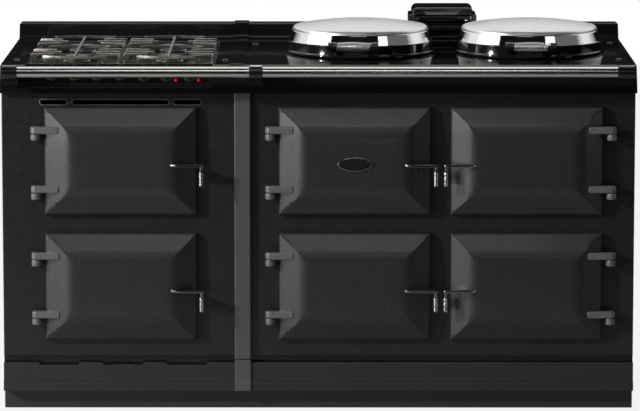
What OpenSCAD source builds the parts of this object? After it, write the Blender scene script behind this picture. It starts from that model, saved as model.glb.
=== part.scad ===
// Cast iron range cooker: a four-ring unit on the left, joined to a
// two-plate heat-storage cooker on the right. Millimetres, +Z up, front to -Y.
// The origin is on the floor, at the centre of the footprint's box.

/* [Overall] */
// Width over the side panels
body_w = 1587; // [1560:1:1620]
// Width of the four-ring unit
unit_w = 603; // [590:1:615]
// Depth from the front plate's face to the back
body_d = 698; // [690:1:705]
// Height of the top plate's surface
hob_h = 872; // [870:1:874]
// How far the handrail stands ahead of the front plate
rail_reach = 90; // [88:1:95]

/* [Doors] */
// Width of a door
door_w = 380; // [370:1:386]
// Height of a door
door_h = 271; // [262:1:276]
// How far a door's face stands ahead of the front plate
door_proud = 45; // [42:1:48]
// Height of the upper doors' centres
upper_z = 631; // [625:1:636]
// Height of the lower doors' centres
lower_z = 313; // [308:1:318]
// Centre of the unit's doors, from the middle of the range
unit_door_x = -496; // [-500:1:-490]
// Centre of the cooker's left doors
left_door_x = 91; // [86:1:96]
// Centre of the cooker's right doors
right_door_x = 522; // [518:1:528]

/* [Lids] */
// Radius of a lid at its foot
lid_r = 192.5; // [188:0.5:194]
// Centre of the left lid, from the middle of the range
left_lid_x = 107; // [104:1:110]
// Centre of the right lid
right_lid_x = 541; // [538:1:546]
// Turn of the left lid's handle about the middle of the lid, seen from above
left_handle_turn = -5; // [-7:0.5:7]
// Turn of the right lid's handle
right_handle_turn = -1.5; // [-7:0.5:7]
// Depth of the lids' centres behind the front plate
lid_d = 314; // [308:1:318]
// Curls in a handle's coil
coil_curls = 14; // [12:1:16]
// Wire thickness of a handle's coil
coil_wire = 3; // [2.6:0.1:3.2]

/* [Hob] */
// Distance from the unit's middle to each pair of burners
burner_x = 118; // [112:1:122]
// Depth of the front burners
front_burner_d = 178; // [170:1:186]
// Depth of the rear burners
rear_burner_d = 436; // [425:1:445]
// Distance between two knobs
knob_pitch = 57.5; // [56:0.5:58.5]
// Travel of a gas knob when it is pushed in
knob_travel = 3; // [2:0.5:3]

/* [Hidden] */

$fn = 48;

// places of the body
half_w = body_w / 2;
front_y = rail_reach - (body_d + rail_reach) / 2;
back_y = front_y + body_d;
joint_x = -half_w + unit_w;
top_joint_x = joint_x - 14;
joint_gap = 0.25;
seam = 0.2;

// heights of the base
plinth_h = 48;
base_floor = 6;
trim_top = 119;
plate_foot = 133;
riser_t = 2;
fascia_foot = 802;

// sheet and casting thicknesses
sheet = 3;
plate_t = 8;
wall = 6;
plate_top = 857;

// top plates and fascia
fascia_top_out = 10;
fascia_foot_out = 15;
side_flare = 3.5;
upstand_d = 648;
upstand_h = 41;
cove = 9;
well_depth = 12;
well_floor = hob_h - well_depth;

// knob recess in the fascia, and the sloping panel in it
recess_l = -733;
recess_r = -264;
recess_z = 816;
panel_foot_d = -9;
panel_top_d = 26;
panel_t = 6;
panel_rise = hob_h - recess_z;
panel_tilt = atan((panel_top_d - panel_foot_d) / panel_rise);
knob_z = 845;
knob_r = 20;
knob_gap = knob_travel + 3;
knob_len = 25;
spindle_r = 4;
running_gap = 0.07;
first_knob_x = -666;
knob_x = [for (i = [0:6]) first_knob_x + knob_pitch * i];

// joint strip
strip_w = 40;
strip_proud = 11;

// doors
door_reveal = 1;
rim = 14;
bevel_in = 62;
hinge_bevel_in = 49;
mouth_w = door_w - 60;
mouth_h = door_h - 60;
plug_play = 4;
hinge_out = 22;
hinge_fwd = 20;
hinge_r = 12;
pin_r = 5;
lug_t = 18;
lug_z = [79, -70];
post_h = 16;
post_gap = 1;
arm_in = 66;
arm_out = 20;
arm_z = -7.5;
arm_t = 7;
grip_r = 5.7;
grip_top = -24;
grip_len = 35;
grip_x = door_w / 2 + 13;
grip_fwd = 46;

// ovens
oven_wall = 8;
oven_d = 490;

// lids
lid_z = 873;
lid_y = front_y + lid_d;
skirt_top = 904;
band_top = 937;
dome_top = 957;
skirt_top_r = lid_r - 7.5;
dome_r = lid_r - 25;
lid_axis_d = 525;
lid_axis_z = 890;
lid_pin_r = 5;
coil_len = 98;
coil_mid_r = 11.5;
coil_end_r = 9;
handle_out = 36;
handle_z = 907;

// vent cowl
cowl_x = 324;
cowl_half = 80;
cowl_front_d = 495;
cowl_back_d = 638;
cowl_top = 968;

// ---- helpers ------------------------------------------------------------

// a prism along X from x0, on points [y, z]
module prism_x(x0, len, pts) {
    translate([x0, 0, 0]) rotate([90, 0, 90]) linear_extrude(len) polygon(pts);
}

// a prism along Y from y0, on points [x, z]
module prism_y(y0, len, pts) {
    translate([0, y0 + len, 0]) rotate([90, 0, 0]) linear_extrude(len) polygon(pts);
}

// a prism along Z from z0, on points [x, y]
module prism_z(z0, len, pts) {
    translate([0, 0, z0]) linear_extrude(len) polygon(pts);
}

// a box from its lowest to its highest corner
module block(a, b) {
    translate(a) cube(b - a);
}

// points of an arc about [cx, cy]
function arc(cx, cy, r, a0, a1, n = 5) =
    [for (i = [0:n]) let (a = a0 + (a1 - a0) * i / n) [cx + r * cos(a), cy + r * sin(a)]];

// depth behind the front plate's face, as a Y value
function dy(d) = front_y + d;

// a point of the knob panel's face at height z, moved out along its normal
function on_panel(z, out = 0) = [
    dy(panel_foot_d + (z - recess_z) * tan(panel_tilt)) - out * cos(panel_tilt),
    z + out * sin(panel_tilt)];

// puts children, which point along +Z, on the knob panel at x and height z
module at_panel(x, z, out = 0) {
    p = on_panel(z, out);
    translate([x, p[0], p[1]]) rotate([90 - panel_tilt, 0, 0]) children();
}

// ---- base and casing ----------------------------------------------------

module plinth() {
    x = half_w - 1;
    rib = 30;
    color([0.13, 0.14, 0.14]) difference() {
        block([-x, dy(4), 0], [x, back_y - 2, plinth_h]);
        for (bay = [[-x + sheet, joint_x - rib / 2], [joint_x + rib / 2, 300], [300 + rib, x - sheet]])
            block([bay[0], dy(4 + sheet), -1], [bay[1], back_y - 2 - sheet, plinth_h - sheet]);
    }
}

// front moulding of a base casting, at depth d
function trim_profile(t) = [
    [dy(-22), plinth_h], [dy(-22), 66], [dy(-20), 70], [dy(-13), 76], [dy(-12), 79],
    [dy(-12), trim_top - 3], [dy(-11), trim_top], [dy(-12 + t), trim_top], [dy(-12 + t), 76],
    [dy(-22 + t), 68], [dy(-22 + t), plinth_h + base_floor], [dy(2), plinth_h + base_floor],
    [dy(2), plinth_h]];

module base_casting(x0, x1) {
    prism_x(x0, x1 - x0, trim_profile(wall));
    block([x0, dy(0), plinth_h], [x1, back_y - sheet, plinth_h + base_floor]);
    // the riser behind the gap under the front plate
    block([x0, dy(plate_t), plinth_h], [x1, dy(plate_t + riser_t), plate_foot + 7]);
}

module base_castings() {
    notch_w = 102;
    notch_pitch = 161;
    notch_deep = 6.5;
    unit_mid = -half_w + unit_w / 2;
    color([0.19, 0.18, 0.18]) {
        difference() {
            base_casting(-half_w, joint_x - joint_gap);
            for (i = [-1:1])
                translate([unit_mid + i * notch_pitch, 0, 0])
                    prism_y(dy(-30), 40, [[-notch_w / 2, trim_top + 1], [-notch_w / 2, trim_top - 2],
                        [-notch_w / 2 + 4, trim_top - notch_deep],
                        [notch_w / 2 - 4, trim_top - notch_deep],
                        [notch_w / 2, trim_top - 2], [notch_w / 2, trim_top + 1]]);
        }
        base_casting(joint_x + joint_gap, half_w);
    }
}

module outer_panels() {
    foot = plinth_h + base_floor;
    top = fascia_foot - 0.5;
    color([0.17, 0.16, 0.16]) {
        for (s = [-1, 1])
            block([s > 0 ? half_w - sheet : -half_w, dy(plate_t + riser_t + seam), foot],
                [s > 0 ? half_w : -half_w + sheet, back_y - sheet - seam, top]);
        block([-half_w, back_y - sheet, plinth_h], [half_w, back_y, top]);
        // the back's upper edge stands inside the top plates' sides
        block([-half_w + wall + 0.5, back_y - sheet, top - 1], [half_w - wall - 0.5, back_y,
            hob_h - plate_t]);
    }
}

// a front plate with openings for its doors; side says which end has a top plate's skirt
module front_plate(x0, x1, side, doors) {
    in = wall + 0.5;
    difference() {
        union() {
            block([x0, dy(0), plate_foot], [x1, dy(plate_t), fascia_foot - 0.5]);
            block([x0 + (side < 0 ? in : 0), dy(0), fascia_foot - 1],
                [x1 - (side > 0 ? in : 0), dy(plate_t), plate_top]);
        }
        for (p = doors)
            block([p[0] - mouth_w / 2, dy(-1), p[1] - mouth_h / 2],
                [p[0] + mouth_w / 2, dy(plate_t + 1), p[1] + mouth_h / 2]);
        children();
    }
}

module vent_slot(x0, x1) {
    r = 6.3;
    z = 778;
    for (x = [x0 + r, x1 - r])
        translate([x, dy(-1), z]) rotate([-90, 0, 0]) cylinder(r = r, h = plate_t + 2);
    block([x0 + r, dy(-1), z - r], [x1 - r, dy(plate_t + 1), z + r]);
}

module unit_front_plate() {
    color([0.19, 0.18, 0.18])
        front_plate(-half_w, joint_x - joint_gap, -1, [[unit_door_x, upper_z], [unit_door_x, lower_z]]) {
            vent_slot(-697, -629);
            vent_slot(-616, -374);
            vent_slot(-363, -294);
            // room for the knob panel and the tap and switch bodies behind it
            block([recess_l - 6, dy(-2), 806], [recess_r + 6, dy(plate_t + 1), hob_h]);
        }
}

module cooker_front_plate() {
    color([0.19, 0.18, 0.18])
        front_plate(joint_x + joint_gap, half_w, 1, [for (x = [left_door_x, right_door_x],
            z = [upper_z, lower_z]) [x, z]]);
}

module front_joint_strip() {
    r = 2.5;
    h = strip_w / 2;
    foot_top = 126;
    out = 4;
    color([0.3, 0.29, 0.29]) translate([joint_x, 0, 0]) {
        prism_z(foot_top + 2, fascia_foot - foot_top - 2, concat([[-h, dy(0)]],
            arc(-h + r, dy(-strip_proud + r), r, 180, 270, 3),
            arc(h - r, dy(-strip_proud + r), r, 270, 360, 3), [[h, dy(0)]]));
        // the foot follows the base moulding, a little ahead of it
        prism_x(-h, strip_w, [[dy(-22), plinth_h], [dy(-22 - out), plinth_h],
            [dy(-22 - out), 67], [dy(-20 - out), 71], [dy(-13 - out), 77], [dy(-12 - out), 80],
            [dy(-12 - out), foot_top], [dy(0), foot_top], [dy(0), trim_top], [dy(-12), trim_top],
            [dy(-12), 79], [dy(-13), 76], [dy(-20), 70], [dy(-22), 66]]);
    }
}

module top_joint_strip() {
    h = 19;
    t = 3;
    us = dy(upstand_d);
    top = hob_h + upstand_h;
    color([0.05, 0.05, 0.055]) prism_x(top_joint_x - h, 2 * h, [
        [dy(-4), hob_h], [dy(-4), hob_h + t - 1], [dy(-2), hob_h + t],
        [us - cove - t, hob_h + t], [us - t, hob_h + t + cove], [us - t, top + t - 1],
        [us - t + 2, top + t], [back_y - 1, top + t], [back_y - 1, top], [us, top],
        [us, hob_h + cove], [us - cove, hob_h]]);
}

// ---- top plates ---------------------------------------------------------

// side view of a top plate's outside, with its fascia, cove and upstand
function plate_outer() = concat(
    [[dy(-fascia_foot_out), fascia_foot]],
    arc(dy(-fascia_top_out + 8), hob_h - 8, 8, 180, 90, 5),
    [[dy(upstand_d) - cove, hob_h], [dy(upstand_d), hob_h + cove]],
    arc(dy(upstand_d) + 4, hob_h + upstand_h - 4, 4, 180, 90, 3),
    [[back_y, hob_h + upstand_h], [back_y, fascia_foot]]);

// the same for its inside
function plate_inner() = [
    [dy(-fascia_foot_out + wall), fascia_foot - 1], [dy(-fascia_top_out + wall), hob_h - plate_t - 6],
    [dy(-fascia_top_out + wall + 6), hob_h - plate_t], [back_y + 1, hob_h - plate_t],
    [back_y + 1, fascia_foot - 1]];

// front view of a top plate: flare_l and flare_r say which sides have a skirt
function plate_front(x0, x1, fl, fr) = concat(
    [[x0 - (fl ? side_flare : 0), fascia_foot - 2]],
    fl ? arc(x0 + 5, hob_h + upstand_h - 5, 5, 180, 90, 3) : [[x0, hob_h + upstand_h + 1]],
    fr ? arc(x1 - 5, hob_h + upstand_h - 5, 5, 90, 0, 3) : [[x1, hob_h + upstand_h + 1]],
    [[x1 + (fr ? side_flare : 0), fascia_foot - 2]]);

module top_plate_shell(x0, x1, fl, fr) {
    in_l = fl ? wall : -1;
    in_r = fr ? wall : -1;
    us = dy(upstand_d) + wall;
    difference() {
        intersection() {
            prism_x(x0 - 10, x1 - x0 + 20, plate_outer());
            prism_y(dy(-40), body_d + 60, plate_front(x0, x1, fl, fr));
        }
        intersection() {
            prism_x(x0 - 10, x1 - x0 + 20, plate_inner());
            prism_y(dy(-40), body_d + 60, [[x0 + in_l - (fl ? side_flare : 0), fascia_foot - 2],
                [x0 + in_l, hob_h], [x1 - in_r, hob_h], [x1 - in_r + (fr ? side_flare : 0),
                fascia_foot - 2]]);
        }
        // hollow of the upstand, open below
        block([x0 + wall, us, hob_h - plate_t - 1], [x1 - wall, back_y - wall, hob_h + upstand_h - wall]);
    }
}

module unit_top_plate() {
    x0 = -half_w;
    x1 = top_joint_x - joint_gap;
    well_l = -734;
    well_r = -259;
    well_f = dy(34);
    well_b = dy(619);
    pf = dy(panel_foot_d + panel_t);
    pt = dy(panel_top_d + panel_t);
    color([0.05, 0.05, 0.055]) difference() {
        union() {
            top_plate_shell(x0, x1, true, false);
            // the well's walls and floor
            block([well_l - wall, well_f - 2, well_floor - wall], [well_r + wall, well_b + wall, hob_h - 1]);
            // cheeks and ledge round the knob recess
            prism_x(recess_l - wall, recess_r - recess_l + 2 * wall, [
                [dy(-fascia_foot_out + 2), recess_z - wall], [dy(-fascia_top_out + 3), hob_h - 8],
                [dy(0), hob_h - 2], [pt, hob_h - 2], [pt, hob_h - plate_t], [pf, recess_z - wall]]);
        }
        block([well_l, well_f, well_floor], [well_r, well_b, hob_h + 1]);
        // the recess
        prism_x(recess_l, recess_r - recess_l, [[dy(-60), recess_z], [pf, recess_z], [pt, hob_h],
            [pt + 0.6, hob_h + 1], [dy(-60), hob_h + 1]]);
        // room for the taps and the switches behind the knobs
        for (x = knob_x) at_panel(x, knob_z, -panel_skin - tap_len - 1)
            cylinder(r = tap_room_r, h = tap_len + panel_skin + 2);
        // openings under the burners
        for (p = burner_places())
            translate([p[0], p[1], well_floor - wall - 1]) cylinder(r = 24, h = wall + 2);
    }
}

module cooker_top_plate() {
    color([0.05, 0.05, 0.055]) difference() {
        top_plate_shell(top_joint_x + joint_gap, half_w, false, true);
        for (x = [left_lid_x, right_lid_x])
            translate([x, lid_y, hob_h - plate_t - 1]) cylinder(r = 178, h = plate_t + 2, $fn = 96);
    }
}

module plate_caps() {
    color([0.06, 0.06, 0.065])
        for (p = [[-762, 120], [-236, 108], [-166, 508], [764, 541], [760, 135]])
            translate([p[0], dy(p[1]), hob_h]) {
                cylinder(r = 8, h = 1.2);
                cylinder(r = 6.5, h = 2.2);
            }
}

// ---- handrail -----------------------------------------------------------

rail_r = 14;
rail_d = -(rail_reach - 18);
rail_z = 861;
bracket_spans = [[-785, -749], [-171, -139], [744, 785]];

module handrails() {
    color([0.75, 0.74, 0.72])
        for (s = [[bracket_spans[0][1], bracket_spans[1][0]], [bracket_spans[1][1], bracket_spans[2][0]]])
            translate([s[0], dy(rail_d), rail_z]) rotate([0, 90, 0]) cylinder(r = rail_r, h = s[1] - s[0]);
}

module handrail_brackets() {
    r = rail_reach + rail_d;
    color([0.05, 0.05, 0.055])
        for (s = bracket_spans) difference() {
            union() {
                translate([s[0], dy(rail_d), rail_z]) rotate([0, 90, 0]) cylinder(r = r, h = s[1] - s[0]);
                prism_x(s[0], s[1] - s[0], [[dy(rail_d), rail_z + r], [dy(0), hob_h - 2],
                    [dy(0), 810], [dy(rail_d - 12), rail_z - r * 0.74]]);
            }
            // the fascia's own shape comes off the back
            prism_x(s[0] - 1, s[1] - s[0] + 2, concat([[dy(-fascia_foot_out), fascia_foot]],
                arc(dy(-fascia_top_out + 8), hob_h - 8, 8, 180, 90, 5), [[dy(40), hob_h],
                [dy(40), fascia_foot]]));
        }
}

// ---- hob ----------------------------------------------------------------

function burner_places() = [for (x = [-1, 1], d = [front_burner_d, rear_burner_d])
    [unit_door_x + x * burner_x, dy(d)]];

burner_r = 34;
head_top = well_floor + 12;

module burner_heads() {
    color([0.55, 0.55, 0.53]) for (p = burner_places()) translate([p[0], p[1], 0]) {
        translate([0, 0, well_floor - wall - 20]) cylinder(r = 20, h = wall + 20);
        translate([0, 0, well_floor]) difference() {
            cylinder(r = burner_r, h = 12);
            // flame ports round the rim
            for (a = [0:24:359]) rotate([0, 0, a])
                translate([burner_r - 5, -1, 6]) cube([6, 2, 3]);
        }
    }
}

module burner_caps() {
    color([0.06, 0.06, 0.065]) for (p = burner_places()) translate([p[0], p[1], head_top])
        rotate_extrude() polygon(concat([[0, 0], [burner_r - 5, 0], [burner_r - 4, 2]],
            arc(burner_r - 7, 2.5, 3, 0, 80, 3), [[0, 7]]));
}

module pan_support(x) {
    t = 7;
    top = 888;
    low = well_floor;
    reach = 114;
    d0 = 50;
    d1 = 570;
    mid = (front_burner_d + rear_burner_d) / 2;
    translate([x, 0, 0]) {
        // the foot frame in the well
        difference() {
            block([-reach, dy(d0), low], [reach, dy(d1), low + t]);
            block([-reach + t, dy(d0 + t), low - 1], [reach - t, dy(d1 - t), low + t + 1]);
        }
        // the long bar and three cross bars
        block([-t / 2, dy(d0), top - t], [t / 2, dy(d1), top]);
        for (d = [d0, mid, d1 - t]) {
            block([-80, dy(d), top - t], [80, dy(d + t), top]);
            for (s = [-1, 1])
                block([s * 76.5 - t / 2, dy(d), low], [s * 76.5 + t / 2, dy(d + t), top]);
        }
        block([-reach, dy(mid), low], [reach, dy(mid + t), low + t]);
        for (d = [front_burner_d, rear_burner_d]) for (s = [-1, 1]) {
            // side fingers, bent down at their outer ends
            block([s > 0 ? 38 : -reach, dy(d) - t / 2, top - t], [s > 0 ? reach : -38, dy(d) + t / 2, top]);
            block([s > 0 ? reach - t : -reach, dy(d) - t / 2, low],
                [s > 0 ? reach : -reach + t, dy(d) + t / 2, top]);
            // slanting fingers
            for (f = [-1, 1]) translate([s * (reach - t), dy(d) + f * 62, 0]) {
                rotate([0, 0, s > 0 ? 180 + f * 16 : -f * 16]) block([0, -t / 2, top - t], [56, t / 2, top]);
                block([-t / 2, -t / 2, low], [t / 2 + 1, t / 2, top]);
            }
        }
    }
}

module pan_supports() {
    color([0.2, 0.2, 0.2]) for (s = [-1, 1]) pan_support(unit_door_x + s * burner_x);
}

// ---- knob panel, taps and knobs -----------------------------------------

function gas_knob_x(i) = knob_x[i];
function oven_knob_x(i) = knob_x[4 + i];
panel_skin = panel_t * cos(panel_tilt);
tap_len = 34;
tap_room_r = 14.5;
lamp_places = [[-357, 833], [-300, 833]];

module knob_panel() {
    color([0.06, 0.06, 0.065]) difference() {
        union() {
            prism_x(recess_l, recess_r - recess_l, [[dy(panel_foot_d), recess_z],
                [dy(panel_top_d), hob_h], [dy(panel_top_d + panel_t), hob_h],
                [dy(panel_foot_d + panel_t), recess_z]]);
            for (x = knob_x) at_panel(x + 29, 866, -1) cylinder(r = 5, h = 3);
            // housings of the three oven switches
            for (i = [0:2]) at_panel(oven_knob_x(i), knob_z, -panel_skin - tap_len)
                cylinder(r = 14, h = tap_len + 1);
        }
        for (i = [0:3]) at_panel(gas_knob_x(i), knob_z, -panel_skin - 1)
            cylinder(r = spindle_r + 2, h = panel_skin + 2);
        for (i = [0:2]) at_panel(oven_knob_x(i), knob_z, -panel_skin - tap_len + 6)
            cylinder(r = spindle_r + running_gap, h = tap_len + panel_skin);
        for (p = lamp_places) at_panel(p[0], p[1], -panel_skin - 1) cylinder(r = 3, h = panel_skin + 2);
    }
}

module indicator_lamps() {
    color([0.85, 0.05, 0.05]) for (p = lamp_places) {
        at_panel(p[0], p[1], -panel_skin) rotate_extrude() polygon(concat([[0, 0], [3, 0],
            [3, panel_skin], [4.2, panel_skin], [4.2, panel_skin + 1]],
            arc(0, panel_skin + 1, 4.2, 10, 80, 3), [[0, panel_skin + 5.2]]));
    }
}

module gas_manifold() {
    pipe = on_panel(knob_z, -panel_skin - tap_len + 10);
    color([0.6, 0.5, 0.3]) difference() {
        union() {
            for (i = [0:3]) at_panel(gas_knob_x(i), knob_z, -panel_skin - tap_len)
                cylinder(r = 12, h = tap_len);
            translate([knob_x[0] - 30, pipe[0], pipe[1]]) rotate([0, 90, 0])
                cylinder(r = 9, h = 4 * knob_pitch);
        }
        for (i = [0:3]) at_panel(gas_knob_x(i), knob_z, -panel_skin - tap_len + 6)
            cylinder(r = spindle_r + running_gap, h = tap_len + panel_skin);
    }
}

module tap_spindle(i) {
    color([0.6, 0.5, 0.3]) at_panel(gas_knob_x(i), knob_z, -panel_skin - tap_len + 6.5)
        cylinder(r = spindle_r, h = tap_len + panel_skin - 6.5 + knob_gap + knob_len - 8);
}

// the outside of a knob: a skirt, a waist and a grip bar across the face
module knob_form() {
    rotate_extrude() polygon(concat([[0, 0], [knob_r, 0], [knob_r, 4], [knob_r - 2, 7],
        [knob_r - 4, 9]], arc(knob_r - 7, knob_len - 10, 3, 0, 90, 3), [[0, knob_len - 7]]));
    block([-5, -knob_r + 3, 6], [5, knob_r - 3, knob_len]);
}

module gas_knob(i) {
    color([0.07, 0.07, 0.075]) at_panel(gas_knob_x(i), knob_z, knob_gap) difference() {
        knob_form();
        translate([0, 0, -1]) cylinder(r = spindle_r + running_gap, h = knob_len - 3);
    }
}

module oven_knob(i) {
    color([0.07, 0.07, 0.075]) at_panel(oven_knob_x(i), knob_z, 1) {
        knob_form();
        translate([0, 0, -tap_len + 4]) cylinder(r = spindle_r, h = tap_len);
    }
}

// ---- inside -------------------------------------------------------------

// an oven casting, open to the front, with its back wall pierced for a fan if told
module oven(x, z, fan = false) {
    w = mouth_w / 2;
    h = mouth_h / 2;
    difference() {
        block([x - w - oven_wall, dy(plate_t), z - h - oven_wall],
            [x + w + oven_wall, dy(plate_t + oven_d + oven_wall), z + h + oven_wall]);
        block([x - w, dy(plate_t - 1), z - h], [x + w, dy(plate_t + oven_d), z + h]);
        if (fan) translate([x, dy(plate_t + oven_d - 1), z]) rotate([-90, 0, 0])
            cylinder(r = spindle_r + running_gap, h = oven_wall + 2);
    }
}

module ovens() {
    color([0.3, 0.29, 0.28]) {
        oven(unit_door_x, upper_z, true);
        for (p = [[unit_door_x, lower_z], [left_door_x, lower_z], [right_door_x, upper_z],
            [right_door_x, lower_z]]) oven(p[0], p[1]);
    }
}

module oven_shelf(x, z) {
    w = mouth_w / 2;
    front = dy(60);
    back = dy(430);
    r = 3;
    for (y = [front, back]) block([x - w, y - r, z - r], [x + w, y + r, z + r]);
    for (i = [-6:6]) block([x + i * 24 - r / 2, front, z - r / 2], [x + i * 24 + r / 2, back, z + r / 2]);
    for (s = [-1, 1]) block([s > 0 ? x + w - 2 * r : x - w, front, z - r],
        [s > 0 ? x + w : x - w + 2 * r, back, z + r]);
}

module oven_shelves() {
    drop = 40;
    color([0.6, 0.6, 0.6])
        for (p = [[unit_door_x, upper_z], [unit_door_x, lower_z], [left_door_x, lower_z],
            [right_door_x, upper_z], [right_door_x, lower_z]]) oven_shelf(p[0], p[1] - drop);
}

module ring_element(r, t) {
    rotate_extrude($fn = 64) translate([r, 0]) circle(r = t, $fn = 16);
}

hotplate_r = 175;
core_r = 120;
core_foot = 785;

module heating_elements() {
    back = plate_t + oven_d;
    color([0.25, 0.25, 0.26]) {
        // ring round the fan
        translate([unit_door_x, dy(back - 5), upper_z]) rotate([90, 0, 0]) ring_element(86, 4);
        // floor ring of the lower oven of the unit
        translate([unit_door_x, dy(260), lower_z - mouth_h / 2 + 5]) ring_element(110, 4);
        // rings round the two storage cores
        for (x = [left_lid_x, right_lid_x])
            translate([x, lid_y, hob_h - 31]) ring_element(core_r + 20, 5);
    }
}

module hotplates() {
    color([0.12, 0.12, 0.12]) for (x = [left_lid_x, right_lid_x]) translate([x, lid_y, 0]) {
        translate([0, 0, hob_h - 26]) cylinder(r = hotplate_r, h = 30, $fn = 96);
        translate([0, 0, core_foot]) cylinder(r = core_r, h = hob_h - 26 - core_foot, $fn = 96);
    }
}

module insulation() {
    foot = plinth_h + base_floor;
    back = back_y - sheet - 2;
    color([0.8, 0.76, 0.6])
        for (s = [[-788, -668], [-324, -193], [-188, -80], [270, 344], [702, 788]])
            block([s[0], dy(plate_t + riser_t + seam), foot], [s[1], back, 755]);
}

module control_box() {
    w = mouth_w / 2 + 2;
    h = mouth_h / 2 + 2;
    deep = 180;
    face = 110;
    color([0.35, 0.35, 0.36]) difference() {
        union() {
            difference() {
                block([left_door_x - w, dy(plate_t), upper_z - h], [left_door_x + w, dy(deep), upper_z + h]);
                block([left_door_x - w + 2, dy(plate_t - 1), upper_z - h + 2],
                    [left_door_x + w - 2, dy(deep - 2), upper_z + h - 2]);
            }
            block([left_door_x - w + 1, dy(face), upper_z - h + 1], [left_door_x + w - 1, dy(face + 2),
                upper_z + h - 1]);
            translate([left_door_x, dy(face + 1), upper_z]) rotate([-90, 0, 0]) cylinder(r = 14, h = 30);
        }
        translate([left_door_x, dy(face - 1), upper_z]) rotate([-90, 0, 0])
            cylinder(r = spindle_r + running_gap, h = 26);
    }
}

module thermostat_dial() {
    face = 110;
    color([0.08, 0.08, 0.08]) translate([left_door_x, dy(face - 2), upper_z]) {
        rotate([90, 0, 0]) rotate_extrude() polygon([[0, 0], [24, 0], [24, 3], [19, 6], [18, 16], [0, 17]]);
        rotate([-90, 0, 0]) translate([0, 0, -1]) cylinder(r = spindle_r, h = 26);
    }
}

fan_d = plate_t + oven_d - 30;

module fan_motor() {
    back = dy(plate_t + oven_d + oven_wall);
    color([0.4, 0.4, 0.42]) difference() {
        union() {
            translate([unit_door_x, back, upper_z]) rotate([-90, 0, 0]) cylinder(r = 38, h = 46);
            block([unit_door_x - 52, back, upper_z - 12], [unit_door_x + 52, back + 3, upper_z + 12]);
        }
        translate([unit_door_x, back - 1, upper_z]) rotate([-90, 0, 0])
            cylinder(r = spindle_r + running_gap, h = 31);
    }
}

module oven_fan() {
    blades = 8;
    color([0.55, 0.55, 0.56]) translate([unit_door_x, dy(fan_d), upper_z]) rotate([-90, 0, 0]) {
        cylinder(r = 12, h = 22);
        cylinder(r = 64, h = 2);
        for (i = [0:blades - 1]) rotate([0, 0, i * 360 / blades])
            block([20, -1, 1], [62, 1, 20]);
        cylinder(r = spindle_r, h = 30 + oven_wall + 29);
    }
}

// ---- doors --------------------------------------------------------------

// front edge of a door's casting, seen along its edge, from point a to point b of
// its width; lead and trail are the bevels' widths and drop thins it all round
function door_profile(a, b, lead, trail, drop) = [
    [a + drop, door_reveal - (drop > 0 ? 5 : 0)], [a + drop, rim - 3 - drop * 0.3],
    [a + drop + 3, rim + 1 - drop * 0.5], [a + lead, 39 - drop], [a + lead + 30, door_proud - 2 - drop],
    [(a + b) / 2, door_proud - drop], [b - trail - 30, door_proud - 2 - drop], [b - trail, 39 - drop],
    [b - drop - 3, rim + 1 - drop * 0.5], [b - drop, rim - 3 - drop * 0.3],
    [b - drop, door_reveal - (drop > 0 ? 5 : 0)]];

module door_solid(drop) {
    w = door_w / 2;
    h = door_h / 2;
    intersection() {
        prism_z(-h + drop, door_h - 2 * drop,
            [for (p = door_profile(-w, w, hinge_bevel_in, bevel_in, drop)) [p[0], -p[1]]]);
        prism_x(-w + drop, door_w - 2 * drop,
            [for (p = door_profile(-h, h, bevel_in, bevel_in, drop)) [-p[1], p[0]]]);
    }
}

module hinge_lug(z) {
    w = door_w / 2;
    fwd = hinge_fwd + hinge_r;
    translate([-w - hinge_out, -hinge_fwd, z - lug_t / 2]) cylinder(r = hinge_r, h = lug_t);
    prism_z(z - lug_t / 2, lug_t, [[-w - hinge_out, -fwd], [-w + 38, -fwd], [-w + 38, -fwd + 6],
        [-w + 1, -rim + 2], [-w - hinge_out + 2, -hinge_fwd + hinge_r]]);
}

module catch_arm() {
    w = door_w / 2;
    prism_z(arm_z - arm_t / 2, arm_t, concat(
        [[w - arm_in, -38], [w - arm_in + 14, -50], [w + arm_out - 7, -53]],
        arc(w + arm_out - 7, -46, 7, -90, 90, 5),
        [[w, -37], [w - 12, -19], [w - 40, -29], [w - arm_in, -36]]));
    translate([grip_x, -grip_fwd, grip_top]) cylinder(r = 4.2, h = arm_z - grip_top);
}

// a door in its own place, hinged on the left: casting, lugs, catch arm and liner pan
module door_left_hung() {
    w = door_w / 2;
    h = door_h / 2;
    difference() {
        union() {
            difference() {
                door_solid(0);
                door_solid(wall);
            }
            for (z = lug_z) hinge_lug(z);
            catch_arm();
        }
        for (z = lug_z) translate([-w - hinge_out, -hinge_fwd, z - lug_t])
            cylinder(r = pin_r + running_gap, h = 2 * lug_t);
    }
    // liner: a flange inside the rim and a pan that plugs the mouth
    difference() {
        union() {
            block([-w + wall + seam, -door_reveal - 2, -h + wall + seam],
                [w - wall - seam, -door_reveal, h - wall - seam]);
            block([-mouth_w / 2 + plug_play, -door_reveal - 2, -mouth_h / 2 + plug_play],
                [mouth_w / 2 - plug_play, 18, mouth_h / 2 - plug_play]);
        }
        block([-mouth_w / 2 + plug_play + 2, -door_reveal - 3, -mouth_h / 2 + plug_play + 2],
            [mouth_w / 2 - plug_play - 2, 16, mouth_h / 2 - plug_play - 2]);
    }
}

// puts a left-hung thing at a door's place, mirrored where the door hangs on the right
module at_door(x, z, right = false) {
    translate([x, front_y, z]) mirror([right ? 1 : 0, 0, 0]) children();
}

module door(x, z, right = false) {
    color([0.2, 0.19, 0.19]) at_door(x, z, right) door_left_hung();
}

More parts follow.
